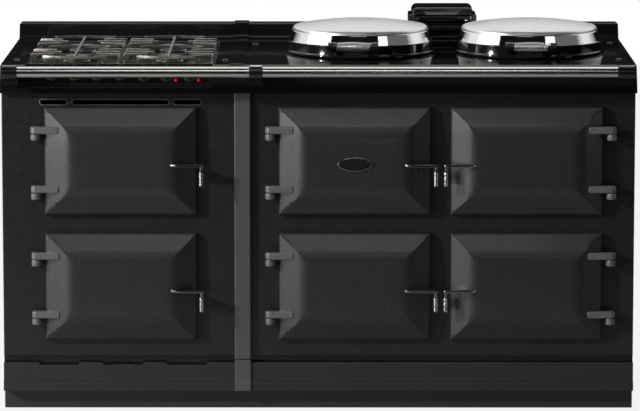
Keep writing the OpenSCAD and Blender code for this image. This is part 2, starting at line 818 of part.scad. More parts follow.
module door_grip(x, z, right = false) {
    color([0.75, 0.76, 0.78]) at_door(x, z, right) translate([grip_x, -grip_fwd, grip_top - grip_len])
        rotate_extrude() polygon([[0, 0], [grip_r - 1, 0], [grip_r, 1], [grip_r, 8], [grip_r - 0.7, 8.6],
            [grip_r - 0.7, 10.4], [grip_r, 11], [grip_r, 24], [grip_r - 0.7, 24.6],
            [grip_r - 0.7, 26.4], [grip_r, 27], [grip_r, grip_len - 1], [grip_r - 1, grip_len],
            [0, grip_len]]);
}

// each door's place: X, height of its centre, and whether it hangs on the right
fan_oven = [unit_door_x, upper_z, false];
grill_oven = [unit_door_x, lower_z, false];
control = [left_door_x, upper_z, false];
simmering_oven = [left_door_x, lower_z, false];
roasting_oven = [right_door_x, upper_z, true];
baking_oven = [right_door_x, lower_z, true];
door_places = [fan_oven, grill_oven, control, simmering_oven, roasting_oven, baking_oven];

module hinge_post() {
    translate([-door_w / 2 - hinge_out, -hinge_fwd, 0])
        for (z = lug_z) {
            top = z - lug_t / 2 - post_gap;
            translate([0, 0, top - post_h]) cylinder(r = hinge_r, h = post_h);
            translate([0, 0, top - 1]) cylinder(r = pin_r, h = post_gap + lug_t + 1);
            block([-8, 0, top - post_h], [8, hinge_fwd, top]);
        }
}

module hinge_posts() {
    color([0.2, 0.19, 0.19]) for (p = door_places) at_door(p[0], p[1], p[2]) hinge_post();
}

// the plaque's lens shape, standing out from 2 mm deep in the control door's face
plaque_sunk = 2;
plaque_t = 4.5;
module plaque_form() {
    high = 17.5;
    r = 130;
    translate([left_door_x + 1, dy(-door_proud + plaque_sunk), upper_z - 4])
        prism_y(-plaque_t, plaque_t, concat(arc(0, high - r, r, 110, 70, 8),
            arc(0, r - high, r, -70, -110, 8)));
}

module door_plaque() {
    color([0.8, 0.8, 0.8]) plaque_form();
}

module control_door() {
    color([0.2, 0.19, 0.19]) difference() {
        at_door(control[0], control[1]) door_left_hung();
        plaque_form();
    }
}

// ---- lids ---------------------------------------------------------------

module lid_dome(x) {
    t = 4;
    rim_z = band_top + 5;
    color([0.85, 0.85, 0.86]) translate([x, lid_y, 0]) rotate_extrude($fn = 96) polygon(concat(
        [[skirt_top_r - t, skirt_top], [skirt_top_r, skirt_top], [skirt_top_r - 1, skirt_top + 5]],
        [[dome_r + 5, band_top - 3]], arc(dome_r - 5, band_top - 4, 8, 20, 80, 3),
        [for (i = [1:6]) [(dome_r - 6) * (1 - i / 6),
            rim_z + (dome_top - rim_z) * (1 - pow(1 - i / 6, 2))]],
        [[0, dome_top - t], [dome_r * 0.5, dome_top - t - 5], [dome_r - 6, band_top]]));
}

// a lid's foot, with its handle's lugs and rod turned about the middle of the lid
module lid_skirt(x, turn) {
    color([0.06, 0.06, 0.065]) translate([x, lid_y, 0]) {
        arm_y = -skirt_top_r - handle_out;
        lug_w = 14;
        difference() {
            union() {
                rotate_extrude($fn = 96) polygon([[skirt_top_r - 6, skirt_top], [skirt_top_r - 3, lid_z + 14],
                    [0, lid_z + 14], [0, lid_z + 10], [skirt_top_r - 1, lid_z + 10], [lid_r - 6, lid_z],
                    [lid_r, lid_z], [lid_r - 1, lid_z + 8], [skirt_top_r, skirt_top]]);
                // handle lugs and the rod between them
                rotate([0, 0, turn]) {
                    for (x0 = [coil_len / 2, -coil_len / 2 - lug_w]) translate([x0, 0, 0]) {
                        translate([0, arm_y, handle_z]) rotate([0, 90, 0]) cylinder(r = 12, h = lug_w);
                        prism_x(0, lug_w, [[arm_y, handle_z + 10], [-skirt_top_r + 12, skirt_top - 2],
                            [-skirt_top_r + 10, lid_z + 11], [arm_y, handle_z - 12]]);
                    }
                    translate([-coil_len / 2 - 1, arm_y, handle_z]) rotate([0, 90, 0])
                        cylinder(r = 5, h = coil_len + 2);
                }
                // hinge leaf behind
                prism_x(-20, 40, [[skirt_top_r - 8, lid_z + 10], [skirt_top_r - 8, skirt_top - 2],
                    [lid_axis_d - lid_d, lid_axis_z + 10], [lid_axis_d - lid_d, lid_axis_z - 10],
                    [skirt_top_r + 2, lid_z + 2]]);
                translate([-20, lid_axis_d - lid_d, lid_axis_z]) rotate([0, 90, 0]) cylinder(r = 10, h = 40);
            }
            translate([-30, lid_axis_d - lid_d, lid_axis_z]) rotate([0, 90, 0])
                cylinder(r = lid_pin_r + running_gap, h = 60);
        }
    }
}

// a coil's centre line along X: straight out of each lug, then round and round
coil_rings = 8;
coil_sides = 6;
coil_steps = coil_rings * coil_curls;
coil_lead = coil_wire;
function coil_radius(u) = coil_end_r + (coil_mid_r - coil_end_r) * sin(180 * u);
function coil_point(i) = let (u = i / coil_steps, a = 360 * i / coil_rings,
    run = coil_len - 2 * coil_lead - coil_wire * 2)
    [-run / 2 + run * u, coil_radius(u) * cos(a), coil_radius(u) * sin(a)];
coil_path = concat(
    [[-coil_len / 2, coil_end_r, 0], [-coil_len / 2 + coil_lead, coil_end_r, 0]],
    [for (i = [1:coil_steps - 1]) coil_point(i)],
    [[coil_len / 2 - coil_lead, coil_end_r, 0], [coil_len / 2, coil_end_r, 0]]);
function unit(v) = v / norm(v);
function path_dir(p, i) = unit(p[min(i + 1, len(p) - 1)] - p[max(i - 1, 0)]);
function ring_at(p, i) = let (
    t = i <= 0 || i >= len(p) - 1 ? [1, 0, 0] : path_dir(p, i),
    rad = unit([0, p[i][1], p[i][2]]),
    side = unit(cross(t, rad)),
    up = cross(side, t))
    [for (k = [0:coil_sides - 1]) let (a = 360 * k / coil_sides)
        p[i] + coil_wire / 2 * (cos(a) * up + sin(a) * side)];

// least gap of the coil to itself, between points at least half a curl apart
coil_gap = min([for (i = [0:len(coil_path) - 1]) for (j = [i + 5:1:len(coil_path) - 1])
    norm(coil_path[i] - coil_path[j])]) - coil_wire;
echo(coil_least_gap = coil_gap);

module lid_coil(x, turn) {
    n = len(coil_path);
    s = coil_sides;
    pts = [for (i = [0:n - 1]) each ring_at(coil_path, i)];
    tube = [for (i = [0:n - 2]) for (k = [0:s - 1]) each [
        [i * s + k, i * s + (k + 1) % s, (i + 1) * s + k],
        [i * s + (k + 1) % s, (i + 1) * s + (k + 1) % s, (i + 1) * s + k]]];
    ends = [for (k = [1:s - 2]) each [[0, k + 1, k], [(n - 1) * s, (n - 1) * s + k, (n - 1) * s + k + 1]]];
    color([0.8, 0.8, 0.82]) translate([x, lid_y, handle_z]) rotate([0, 0, turn])
        translate([0, -skirt_top_r - handle_out, 0])
            polyhedron(points = pts, faces = concat(tube, ends));
}

module lid_hinge_brackets() {
    color([0.06, 0.06, 0.065]) for (x = [left_lid_x, right_lid_x]) translate([x, dy(lid_axis_d), 0]) {
        for (s = [-1, 1]) translate([s > 0 ? 21 : -31, 0, 0]) {
            translate([0, 0, lid_axis_z]) rotate([0, 90, 0]) cylinder(r = 10, h = 10);
            block([0, -10, hob_h], [10, 10, lid_axis_z]);
        }
        translate([-31, 0, lid_axis_z]) rotate([0, 90, 0]) cylinder(r = lid_pin_r, h = 62);
    }
}

// ---- vent cowl ----------------------------------------------------------

module vent_cowl() {
    r = 14;
    w = cowl_half;
    slot_z = [883, 909, 935];
    color([0.05, 0.05, 0.055]) difference() {
        union() {
            prism_y(dy(cowl_front_d), cowl_back_d - cowl_front_d, concat([[cowl_x - w, hob_h]],
                [for (p = arc(-w + r, cowl_top - r, r, 180, 90, 5)) [cowl_x + p[0], p[1]]],
                [for (p = arc(w - r, cowl_top - r, r, 90, 0, 5)) [cowl_x + p[0], p[1]]],
                [[cowl_x + w, hob_h]]));
            block([cowl_x - w - 9, dy(cowl_front_d + 18), hob_h], [cowl_x + w + 9, dy(cowl_back_d - 4), 948]);
        }
        block([cowl_x - w + 4, dy(cowl_front_d + 4), hob_h - 1], [cowl_x + w - 4, dy(cowl_back_d - 4),
            cowl_top - 6]);
        for (z = slot_z)
            prism_x(cowl_x - w + 8, 2 * w - 16, [[dy(cowl_front_d - 1), z], [dy(cowl_front_d + 6), z + 6],
                [dy(cowl_front_d + 6), z + 16], [dy(cowl_front_d - 1), z + 16]]);
    }
}

// ---- what is drawn ------------------------------------------------------

plinth();
base_castings();
outer_panels();
unit_front_plate();
cooker_front_plate();
front_joint_strip();
top_joint_strip();
unit_top_plate();
cooker_top_plate();
handrails();
handrail_brackets();
vent_cowl();
burner_heads();
burner_caps();
gas_manifold();
hotplates();
ovens();
oven_shelves();
heating_elements();
insulation();
knob_panel();
hinge_posts();
lid_hinge_brackets();
indicator_lamps();
control_box();
fan_motor();
plate_caps();
door(fan_oven[0], fan_oven[1]);  // fan_oven_door
door(grill_oven[0], grill_oven[1]);  // grill_oven_door
control_door();
door(simmering_oven[0], simmering_oven[1]);  // simmering_oven_door
door(roasting_oven[0], roasting_oven[1], true);  // roasting_oven_door
door(baking_oven[0], baking_oven[1], true);  // baking_oven_door
door_grip(fan_oven[0], fan_oven[1]);  // fan_oven_grip
door_grip(grill_oven[0], grill_oven[1]);  // grill_oven_grip
door_grip(control[0], control[1]);  // control_grip
door_grip(simmering_oven[0], simmering_oven[1]);  // simmering_oven_grip
door_grip(roasting_oven[0], roasting_oven[1], true);  // roasting_oven_grip
door_grip(baking_oven[0], baking_oven[1], true);  // baking_oven_grip
door_plaque();
lid_dome(left_lid_x);  // left_lid_dome
lid_skirt(left_lid_x, left_handle_turn);  // left_lid_skirt
lid_coil(left_lid_x, left_handle_turn);  // left_lid_coil
lid_dome(right_lid_x);  // right_lid_dome
lid_skirt(right_lid_x, right_handle_turn);  // right_lid_skirt
lid_coil(right_lid_x, right_handle_turn);  // right_lid_coil
gas_knob(0);  // gas_knob_1
gas_knob(1);  // gas_knob_2
gas_knob(2);  // gas_knob_3
gas_knob(3);  // gas_knob_4
tap_spindle(0);  // tap_spindle_1
tap_spindle(1);  // tap_spindle_2
tap_spindle(2);  // tap_spindle_3
tap_spindle(3);  // tap_spindle_4
oven_knob(0);  // oven_knob_1
oven_knob(1);  // oven_knob_2
oven_knob(2);  // oven_knob_3
pan_supports();
oven_fan();
thermostat_dial();
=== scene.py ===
"""Looks of the cast iron range cooker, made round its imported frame.

Each sub-assembly is a class that holds its sizes in metres and makes its own pieces. The
finishes come first, then the modelling bench, then the sub-assemblies from the floor up, and
last the studio. Front is -Y and up is +Z, as in the frame.
"""

import logging
import math
from dataclasses import dataclass
from enum import Enum
from typing import Callable, Iterable, Sequence

import bpy
from mathutils import Matrix, Vector


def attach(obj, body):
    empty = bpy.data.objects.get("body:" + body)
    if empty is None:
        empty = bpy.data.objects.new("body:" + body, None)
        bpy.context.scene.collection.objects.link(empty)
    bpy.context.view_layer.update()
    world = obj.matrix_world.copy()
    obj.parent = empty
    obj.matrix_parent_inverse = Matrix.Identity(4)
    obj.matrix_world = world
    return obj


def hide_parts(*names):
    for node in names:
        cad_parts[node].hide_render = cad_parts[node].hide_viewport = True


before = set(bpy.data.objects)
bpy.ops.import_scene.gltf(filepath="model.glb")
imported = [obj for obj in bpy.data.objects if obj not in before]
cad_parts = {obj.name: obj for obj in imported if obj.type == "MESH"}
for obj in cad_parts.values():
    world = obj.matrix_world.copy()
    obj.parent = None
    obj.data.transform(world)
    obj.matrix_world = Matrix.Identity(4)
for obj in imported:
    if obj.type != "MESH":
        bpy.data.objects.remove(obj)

LOG = logging.getLogger("range_cooker")
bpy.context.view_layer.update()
Piece = bpy.types.Object
Socket = bpy.types.NodeSocket
Point = tuple[float, float, float]
Flat = tuple[float, float]
Colour = tuple[float, float, float]


# ---- finishes ----------------------------------------------------------------


class NodeSheet:
    """The node tree of one material, with the few nodes that the finishes share."""

    def __init__(self, name: str) -> None:
        """Starts a material with its shader and object coordinates.

        Args:
            name: the material's name.
        """
        self.material = bpy.data.materials.new(f"{name}_finish")
        self.material.use_nodes = True
        self.tree = self.material.node_tree
        self.shader = self.tree.nodes["Principled BSDF"]
        self.coords = self.tree.nodes.new("ShaderNodeTexCoord").outputs["Object"]

    def set(self, **values: object) -> None:
        """Sets sockets of the shader by name, with underscores for spaces."""
        for key, value in values.items():
            self.shader.inputs[key.replace("_", " ")].default_value = value

    def noise(self, scale: float, detail: float = 2.0, stretch: Point = (1.0, 1.0, 1.0)) -> Socket:
        """Adds a noise pattern.

        Args:
            scale: cells in a metre.
            detail: octaves of finer noise.
            stretch: how much denser the pattern is along each axis.

        Returns:
            The pattern's value socket.
        """
        mapping = self.tree.nodes.new("ShaderNodeMapping")
        mapping.inputs["Scale"].default_value = stretch
        self.tree.links.new(self.coords, mapping.inputs["Vector"])
        node = self.tree.nodes.new("ShaderNodeTexNoise")
        node.inputs["Scale"].default_value = scale
        node.inputs["Detail"].default_value = detail
        self.tree.links.new(mapping.outputs["Vector"], node.inputs["Vector"])
        return node.outputs["Fac"]

    def ramp(self, source: Socket, low: Sequence[float], high: Sequence[float],
             start: float = 0.35, end: float = 0.65) -> Socket:
        """Spreads a value between two colours.

        Args:
            source: the value.
            low: colour at and under start.
            high: colour at and over end.
            start: value where the change begins.
            end: value where it ends.

        Returns:
            The colour socket.
        """
        node = self.tree.nodes.new("ShaderNodeValToRGB")
        first, last = node.color_ramp.elements
        first.position, last.position = start, end
        first.color = (*low, 1.0)
        last.color = (*high, 1.0)
        self.tree.links.new(source, node.inputs["Fac"])
        return node.outputs["Color"]

    def span(self, source: Socket, low: float, high: float) -> Socket:
        """Maps a value from 0.3 to 0.7 onto low to high.

        Args:
            source: the value.
            low: result at 0.3.
            high: result at 0.7.

        Returns:
            The mapped value's socket.
        """
        node = self.tree.nodes.new("ShaderNodeMapRange")
        node.inputs["From Min"].default_value = 0.3
        node.inputs["From Max"].default_value = 0.7
        node.inputs["To Min"].default_value = low
        node.inputs["To Max"].default_value = high
        self.tree.links.new(source, node.inputs["Value"])
        return node.outputs["Result"]

    def blend(self, amount: Socket, a: Socket,
              b: Sequence[float]) -> Socket:
        """Lays colour b over colour a by amount.

        Args:
            amount: how much of b shows.
            a: socket of the colour underneath.
            b: the colour on top.

        Returns:
            The mixed colour's socket.
        """
        node = self.tree.nodes.new("ShaderNodeMix")
        node.data_type = "RGBA"
        self.tree.links.new(amount, node.inputs["Factor"])
        self.tree.links.new(a, node.inputs["A"])
        node.inputs["B"].default_value = (*b, 1.0)
        return node.outputs["Result"]

    def feed(self, source: Socket, socket: str) -> None:
        """Links a socket to one of the shader's inputs."""
        self.tree.links.new(source, self.shader.inputs[socket])

    def bump(self, source: Socket, strength: float, distance: float,
             under: Socket | None = None) -> Socket:
        """Adds relief from a value and feeds it to the shader.

        Args:
            source: the relief's height.
            strength: from 0 to 1.
            distance: the relief's depth in metres.
            under: a coarser relief that this one adds to.

        Returns:
            The bumped normal's socket.
        """
        node = self.tree.nodes.new("ShaderNodeBump")
        node.inputs["Strength"].default_value = strength
        node.inputs["Distance"].default_value = distance
        self.tree.links.new(source, node.inputs["Height"])
        if under is not None:
            self.tree.links.new(under, node.inputs["Normal"])
        self.tree.links.new(node.outputs["Normal"], self.shader.inputs["Normal"])
        return node.outputs["Normal"]


@dataclass(frozen=True)
class Recipe:
    """What the recipes of all finishes share."""

    name: str  # the material's name
    colour: Colour  # its base colour, or a metal's reflectance
    roughness: float  # of the surface

    def shade(self, share: float) -> Colour:
        """Gives the colour, darker or lighter by a share."""
        return tuple(c * share for c in self.colour)

    def roughen(self, sheet: NodeSheet, pattern: Flat, low: float, high: float) -> None:
        """Lets the roughness wander between two shares of itself.

        Args:
            sheet: the material's nodes.
            pattern: scale and detail of the noise that it follows.
            low: the least share.
            high: the greatest share.
        """
        haze = sheet.noise(*pattern)
        sheet.feed(sheet.span(haze, self.roughness * low, self.roughness * high), "Roughness")


@dataclass(frozen=True)
class Enamel(Recipe):
    """Vitreous enamel fired on iron or steel."""

    roughness: float = 0.3  # of the glaze
    coat: float = 0.3  # weight of the clear top layer
    speckle: float = 0.25  # how far the fine specks stand from the base colour
    ripple: float = 0.00012  # depth of the orange peel, in metres

    def make(self) -> bpy.types.Material:
        """Builds the material.

        Returns:
            The material.
        """
        sheet = NodeSheet(self.name)
        dark, light = self.shade(1 - self.speckle), self.shade(1 + self.speckle)
        specks = sheet.ramp(sheet.noise(360.0, 3.0), dark, light, 0.38, 0.62)
        clouds = sheet.span(sheet.noise(7.0, 3.0), 0.0, 0.22)
        sheet.feed(sheet.blend(clouds, specks, self.shade(0.8)), "Base Color")
        self.roughen(sheet, (40.0, 3.0), 0.9, 1.12)
        sheet.set(Coat_Weight=self.coat, Coat_Roughness=0.08, Specular_IOR_Level=0.5)
        peel = sheet.bump(sheet.noise(190.0, 2.0), 0.35, self.ripple)
        sheet.bump(sheet.noise(12.0, 1.0), 0.25, self.ripple * 4, peel)
        return sheet.material


@dataclass(frozen=True)
class Plated(Recipe):
    """Polished or brushed metal."""

    roughness: float = 0.1  # of the polish
    grain: Point = (1.0, 1.0, 1.0)  # how much denser the polishing lines are along each axis
    relief: float = 0.00001  # depth of the lines, in metres
    smear: float = 0.3  # how far the roughness varies, as a share

    def make(self) -> bpy.types.Material:
        """Builds the material.

        Returns:
            The material.
        """
        sheet = NodeSheet(self.name)
        lines = sheet.noise(130.0, 4.0, self.grain)
        sheet.feed(sheet.ramp(lines, self.shade(0.93), self.colour), "Base Color")
        self.roughen(sheet, (16.0, 3.0), 1 - self.smear, 1 + self.smear)
        sheet.set(Metallic=1.0)
        if self.relief > 0:
            sheet.bump(lines, 0.2, self.relief)
        return sheet.material


@dataclass(frozen=True)
class RawIron(Recipe):
    """Cast iron or dull coated iron with a sandy skin."""

    roughness: float = 0.55  # of the skin
    metallic: float = 0.4  # how bare the metal is
    grit: float = 0.0003  # depth of the sand's marks, in metres

    def make(self) -> bpy.types.Material:
        """Builds the material.

        Returns:
            The material.
        """
        sheet = NodeSheet(self.name)
        sheet.feed(sheet.ramp(sheet.noise(60.0, 5.0), self.shade(0.75), self.shade(1.2)), "Base Color")
        self.roughen(sheet, (25.0, 3.0), 0.85, 1.15)
        sheet.set(Metallic=self.metallic)
        sheet.bump(sheet.noise(420.0, 3.0), 0.4, self.grit)
        return sheet.material


@dataclass(frozen=True)
class Moulded(Recipe):
    """Moulded plastic, a lamp's lens, or mineral wool where it is rough."""

    roughness: float = 0.25  # of the surface
    glow: float = 0.0  # strength of its own light
    grain: float = 0.00004  # depth of the surface's grain, in metres

    def make(self) -> bpy.types.Material:
        """Builds the material.

        Returns:
            The material.
        """
        sheet = NodeSheet(self.name)
        sheet.feed(sheet.ramp(sheet.noise(90.0, 3.0), self.shade(0.9), self.colour), "Base Color")
        self.roughen(sheet, (60.0, 2.0), 0.85, 1.15)
        if self.glow > 0:
            sheet.set(Emission_Color=(*self.colour, 1.0), Emission_Strength=self.glow)
        sheet.bump(sheet.noise(380.0, 2.0), 0.3, self.grain)
        return sheet.material


class Finish(Enum):
    """Every finish on the range. A value is the finish's recipe, made once on first use."""

    PEWTER = Enamel("pewter_enamel", (0.0190, 0.0179, 0.0181), 0.34, 0.1, 0.35)
    # the doors' enamel is the plates' pewter painted lighter, standing in for the light that the crowned
    # doors catch
    PEWTER_DOOR = Enamel("pewter_door_enamel", (0.0320, 0.0302, 0.0302), 0.34, 0.12, 0.35)
    # the lugs' and posts' enamel is the doors' pewter painted much lighter, standing in for the light on
    # them; on the vent slots it makes painted highlights
    FITTING = Enamel("fitting_enamel", (0.15, 0.147, 0.148), 0.3, 0.5, 0.12)
    ARM = Plated("arm_steel", (0.32, 0.31, 0.31), 0.16)
    GRIP = Plated("grip_satin", (0.62, 0.64, 0.66), 0.3)
    PEWTER_BASE = Enamel("pewter_base_enamel", (0.028, 0.0265, 0.0265), 0.4, 0.15, 0.2)
    STRIP = Enamel("strip_enamel", (0.098, 0.094, 0.095), 0.34, 0.25, 0.15)
    BLACK = Enamel("black_enamel", (0.0085, 0.0085, 0.0095), 0.07, 0.5, 0.1, 0.00005)
    # on the base risers this black is painted shade; on the plaque it is the face's own colour
    BLACK_SATIN = Enamel("black_satin_enamel", (0.011, 0.011, 0.012), 0.3, 0.2, 0.1)
    PLINTH = Enamel("plinth_paint", (0.034, 0.037, 0.037), 0.45, 0.0, 0.12)
    RAIL = Plated("polished_steel", (0.78, 0.765, 0.735), 0.17, (0.4, 9.0, 9.0), 0.0, 0.1)
    CHROME = Plated("grip_chrome", (0.80, 0.81, 0.83), 0.06)
    LID_BAND = Plated("lid_band_chrome", (0.78, 0.78, 0.78), 0.04, (1.0, 1.0, 1.0), 0.000001)
    LID_CHROME = Plated("lid_chrome", (0.74, 0.74, 0.74), 0.34, (1.0, 1.0, 1.0), 0.000004, 0.1)
    COIL_CHROME = Plated("coil_chrome", (0.9, 0.9, 0.92), 0.24)
    SUPPORT = RawIron("support_enamel", (0.42, 0.40, 0.37), 0.24, 0.9, 0.00002)
    CAST_BLACK = RawIron("cast_black", (0.02, 0.02, 0.02), 0.45, 0.1, 0.0001)
    BURNER = Plated("burner_alloy", (0.42, 0.41, 0.39), 0.35, smear=0.2)
    BRASS = Plated("tap_brass", (0.62, 0.48, 0.24), 0.25)
    HOTPLATE = RawIron("hotplate_iron", (0.06, 0.06, 0.06), 0.38, 0.7, 0.00006)
    OVEN_IRON = RawIron("oven_iron", (0.045, 0.043, 0.04), 0.6, 0.2)
    SHELF = Plated("shelf_wire", (0.6, 0.6, 0.6), 0.18)
    ELEMENT = Plated("element_sheath", (0.16, 0.16, 0.17), 0.45)
    WOOL = Moulded("insulation_wool", (0.62, 0.57, 0.42), 0.95, grain=0.001)
    BOX_STEEL = Plated("box_steel", (0.42, 0.42, 0.43), 0.38, (6.0, 6.0, 0.6))
    KNOB = Moulded("knob_black", (0.01, 0.01, 0.011), 0.12)
    LINER = Plated("liner_steel", (0.50, 0.50, 0.49), 0.3, (1.0, 1.0, 9.0))
    DIAL = Moulded("dial_black", (0.02, 0.02, 0.02), 0.3)
    LAMP = Moulded("lamp_red", (0.72, 0.004, 0.006), 0.12, 0.35, 0.0)

    def material(self) -> bpy.types.Material:
        """Gives the finish's material, and makes it the first time."""
        found = bpy.data.materials.get(f"{self.value.name}_finish")
        return found if found is not None else self.value.make()


# ---- the modelling bench -----------------------------------------------------


class Plane(Enum):
    """The plane that an outline is drawn in. A value turns its two numbers into a point."""

    YZ = "yz"
    XZ = "xz"
    XY = "xy"

    def point(self, a: float, b: float, off: float) -> Vector:
        """Gives the point at (a, b) in the plane, off along the third axis.

        Args:
            a: the first number.
            b: the second number.
            off: distance from the plane.

        Returns:
            The point.
        """
        if self is Plane.YZ:
            return Vector((off, a, b))
        if self is Plane.XZ:
            return Vector((a, off, b))
        return Vector((a, b, off))

    def along(self, length: float) -> Vector:
        """Gives the vector of that length square to the plane."""
        return self.point(0.0, 0.0, length)


class Boolean(Enum):
    """What a boolean keeps. A value is Blender's name for it."""

    CUT = "DIFFERENCE"
    MEET = "INTERSECT"
    WELD = "UNION"


def arc(cx: float, cy: float, radius: float, start: float, end: float, steps: int = 6) -> list[Flat]:
    """Points of an arc.

    Args:
        cx: centre, first number.
        cy: centre, second number.
        radius: of the arc.
        start: first angle in degrees.
        end: last angle in degrees.
        steps: number of chords.

    Returns:
        The points, first to last.
    """
    turns = [math.radians(start + (end - start) * i / steps) for i in range(steps + 1)]
    return [(cx + radius * math.cos(t), cy + radius * math.sin(t)) for t in turns]


class Bench:
    """Makes and works meshes with Blender's own tools. Sizes are metres."""

    @staticmethod
    def edit() -> None:
        """Enters edit mode."""
        bpy.ops.object.mode_set(mode="EDIT")

    @staticmethod
    def leave() -> None:
        """Leaves edit mode."""
        bpy.ops.object.mode_set(mode="OBJECT")

    @staticmethod
    def select_everything() -> None:
        """Selects the whole mesh in edit mode."""
        bpy.ops.mesh.select_all(action="SELECT")

    @staticmethod
    def face_out() -> None:
        """Turns every face of the mesh outwards and leaves edit mode."""
        Bench.select_everything()
        bpy.ops.mesh.normals_make_consistent(inside=False)
        Bench.leave()

    @staticmethod
    def push(shift: Sequence[float]) -> None:
        """Extrudes the selected faces by a shift."""
        bpy.ops.mesh.extrude_region_move(TRANSFORM_OT_translate={"value": shift})

    @staticmethod
    def discard(*pieces: Piece) -> None:
        """Removes pieces that have served their turn.

        Args:
            pieces: what goes.
        """
        for piece in pieces:
            bpy.data.objects.remove(piece)

    @staticmethod
    def clear() -> None:
        """Leaves edit mode and deselects everything."""
        active = bpy.context.view_layer.objects.active
        if active is not None and active.mode != "OBJECT":
            Bench.leave()
        bpy.ops.object.select_all(action="DESELECT")

    @staticmethod
    def pick(*pieces: Piece) -> None:
        """Selects the pieces alone and makes the first one active.

        Args:
            pieces: what to select.
        """
        Bench.clear()
        for piece in pieces:
            piece.select_set(True)
        bpy.context.view_layer.objects.active = pieces[0]

    @staticmethod
    def named(name: str) -> Piece:
        """Names the active object and its mesh, and gives it back.

        Args:
            name: the piece's name.

        Returns:
            The active object.
        """
        piece = bpy.context.view_layer.objects.active
        piece.name = name
        piece.data.name = name
        return piece

    @staticmethod
    def settle(piece: Piece) -> Piece:
        """Puts a piece's place, turn and scale into its mesh.

        Args:
            piece: the piece.

        Returns:
            The piece.
        """
        Bench.pick(piece)
        bpy.ops.object.transform_apply(location=True, rotation=True, scale=True)
        return piece

    @staticmethod
    def block(name: str, low: Sequence[float], high: Sequence[float]) -> Piece:
        """A box from its lowest to its highest corner.

        Args:
            name: the piece's name.
            low: the lowest corner.
            high: the highest corner.

        Returns:
            The box.
        """
        Bench.clear()
        a, b = Vector(low), Vector(high)
        bpy.ops.mesh.primitive_cube_add(size=1.0, location=(a + b) / 2, scale=b - a)
        return Bench.settle(Bench.named(name))

    @staticmethod
    def rod(name: str, start: Sequence[float], end: Sequence[float], radius: float,
            sides: int = 40) -> Piece:
        """A round bar from one point to another.

        Args:
            name: the piece's name.
            start: middle of one end.
            end: middle of the other.
            radius: of the bar.
            sides: facets round it.

        Returns:
            The bar.
        """
        Bench.clear()
        a, b = Vector(start), Vector(end)
        turn = (b - a).to_track_quat("Z", "Y").to_euler()
        bpy.ops.mesh.primitive_cylinder_add(vertices=sides, radius=radius, depth=(b - a).length,
                                            location=(a + b) / 2, rotation=turn)
        return Bench.settle(Bench.named(name))

    @staticmethod
    def draw(name: str, points: Sequence[Vector]) -> Piece:
        """Draws a chain of edges through the points, one vertex pulled out of the last.

        Args:
            name: the piece's name.
            points: where the vertices go.

        Returns:
            The piece, left in edit mode.
        """
        Bench.clear()
        bpy.ops.mesh.primitive_plane_add(size=0.001)
        piece = Bench.named(name)
        Bench.edit()
        bpy.ops.mesh.select_mode(type="VERT")
        Bench.select_everything()
        bpy.ops.mesh.merge(type="CENTER")
        bpy.ops.transform.translate(value=points[0])
        for a, b in zip(points, points[1:]):
            bpy.ops.mesh.extrude_vertices_move(TRANSFORM_OT_translate={"value": b - a})
        return piece

    @staticmethod
    def prism(name: str, outline: Sequence[Flat], plane: Plane, start: float, end: float,
              bevel: float = 0.0, segments: int = 3) -> Piece:
        """Draws an outline, fills it and pulls it out into a solid.

        Args:
            name: the piece's name.
            outline: its corners, in order.
            plane: the plane that they lie in.
            start: where the solid begins along the third axis.
            end: where it ends.
            bevel: radius of its edges, or 0.
            segments: steps round an edge.

        Returns:
            The piece.
        """
        piece = Bench.draw(name, [plane.point(a, b, start) for a, b in outline])
        Bench.select_everything()
        bpy.ops.mesh.edge_face_add()
        Bench.push(plane.along(end - start))
        Bench.face_out()
        return Bench.round_edges(piece, bevel, segments) if bevel else piece

    @staticmethod
    def turned(name: str, profile: Sequence[Flat], base: Sequence[float], axis: Sequence[float] = (0, 0, 1),
               steps: int = 48, ring: bool = False) -> Piece:
        """Spins a profile round an axis.

        Args:
            name: the piece's name.
            profile: (radius, height) pairs from the foot to the top.
            base: the point on the axis at height 0.
            axis: its direction.
            steps: facets round the axis.
            ring: whether the profile closes on itself.

        Returns:
            The piece.
        """
        points = [Plane.XZ.point(r, h, 0.0) for r, h in profile]
        piece = Bench.draw(name, points + points[:1] if ring else points)
        Bench.select_everything()
        bpy.ops.mesh.remove_doubles(threshold=1e-6)
        Bench.select_everything()
        bpy.ops.mesh.spin(steps=steps, angle=2 * math.pi, center=(0, 0, 0), axis=(0, 0, 1))
        Bench.select_everything()
        bpy.ops.mesh.remove_doubles(threshold=2e-6)
        Bench.face_out()
        turn = Vector(axis).to_track_quat("Z", "Y").to_matrix().to_4x4()
        piece.matrix_world = Matrix.Translation(Vector(base)) @ turn
        return Bench.settle(piece)

    @staticmethod
    def wire(name: str, points: Sequence[Sequence[float]], radius: float) -> Piece:
        """A round wire along points, drawn as a curve and converted to a mesh.

        Args:
            name: the piece's name.
            points: the wire's middle line.
            radius: of the wire.

        Returns:
            The piece.
        """
        curve = bpy.data.curves.new(name, "CURVE")
        curve.dimensions = "3D"
        curve.bevel_depth = radius
        curve.bevel_resolution = 2
        curve.use_fill_caps = True
        line = curve.splines.new("POLY")
        line.points.add(len(points) - 1)
        for point, place in zip(line.points, points):
            point.co = (*place, 1.0)
        piece = bpy.data.objects.new(name, curve)
        bpy.context.collection.objects.link(piece)
        Bench.pick(piece)
        bpy.ops.object.convert(target="MESH")
        return Bench.named(name)

    @staticmethod
    def round_edges(piece: Piece, width: float, segments: int = 3,
                    angle: float = 30.0) -> Piece:
        """Rounds the edges that are sharper than an angle in degrees.

        Args:
            piece: the piece.
            width: of the rounding.
            segments: steps round an edge.
            angle: the least turn of an edge that is rounded.

        Returns:
            The piece.
        """
        Bench.pick(piece)
        tool = piece.modifiers.new("round", "BEVEL")
        tool.width = width
        tool.segments = segments
        tool.limit_method = "ANGLE"
        tool.angle_limit = math.radians(angle)
        tool.harden_normals = False
        tool.use_clamp_overlap = True
        bpy.ops.object.modifier_apply(modifier=tool.name)
        return piece

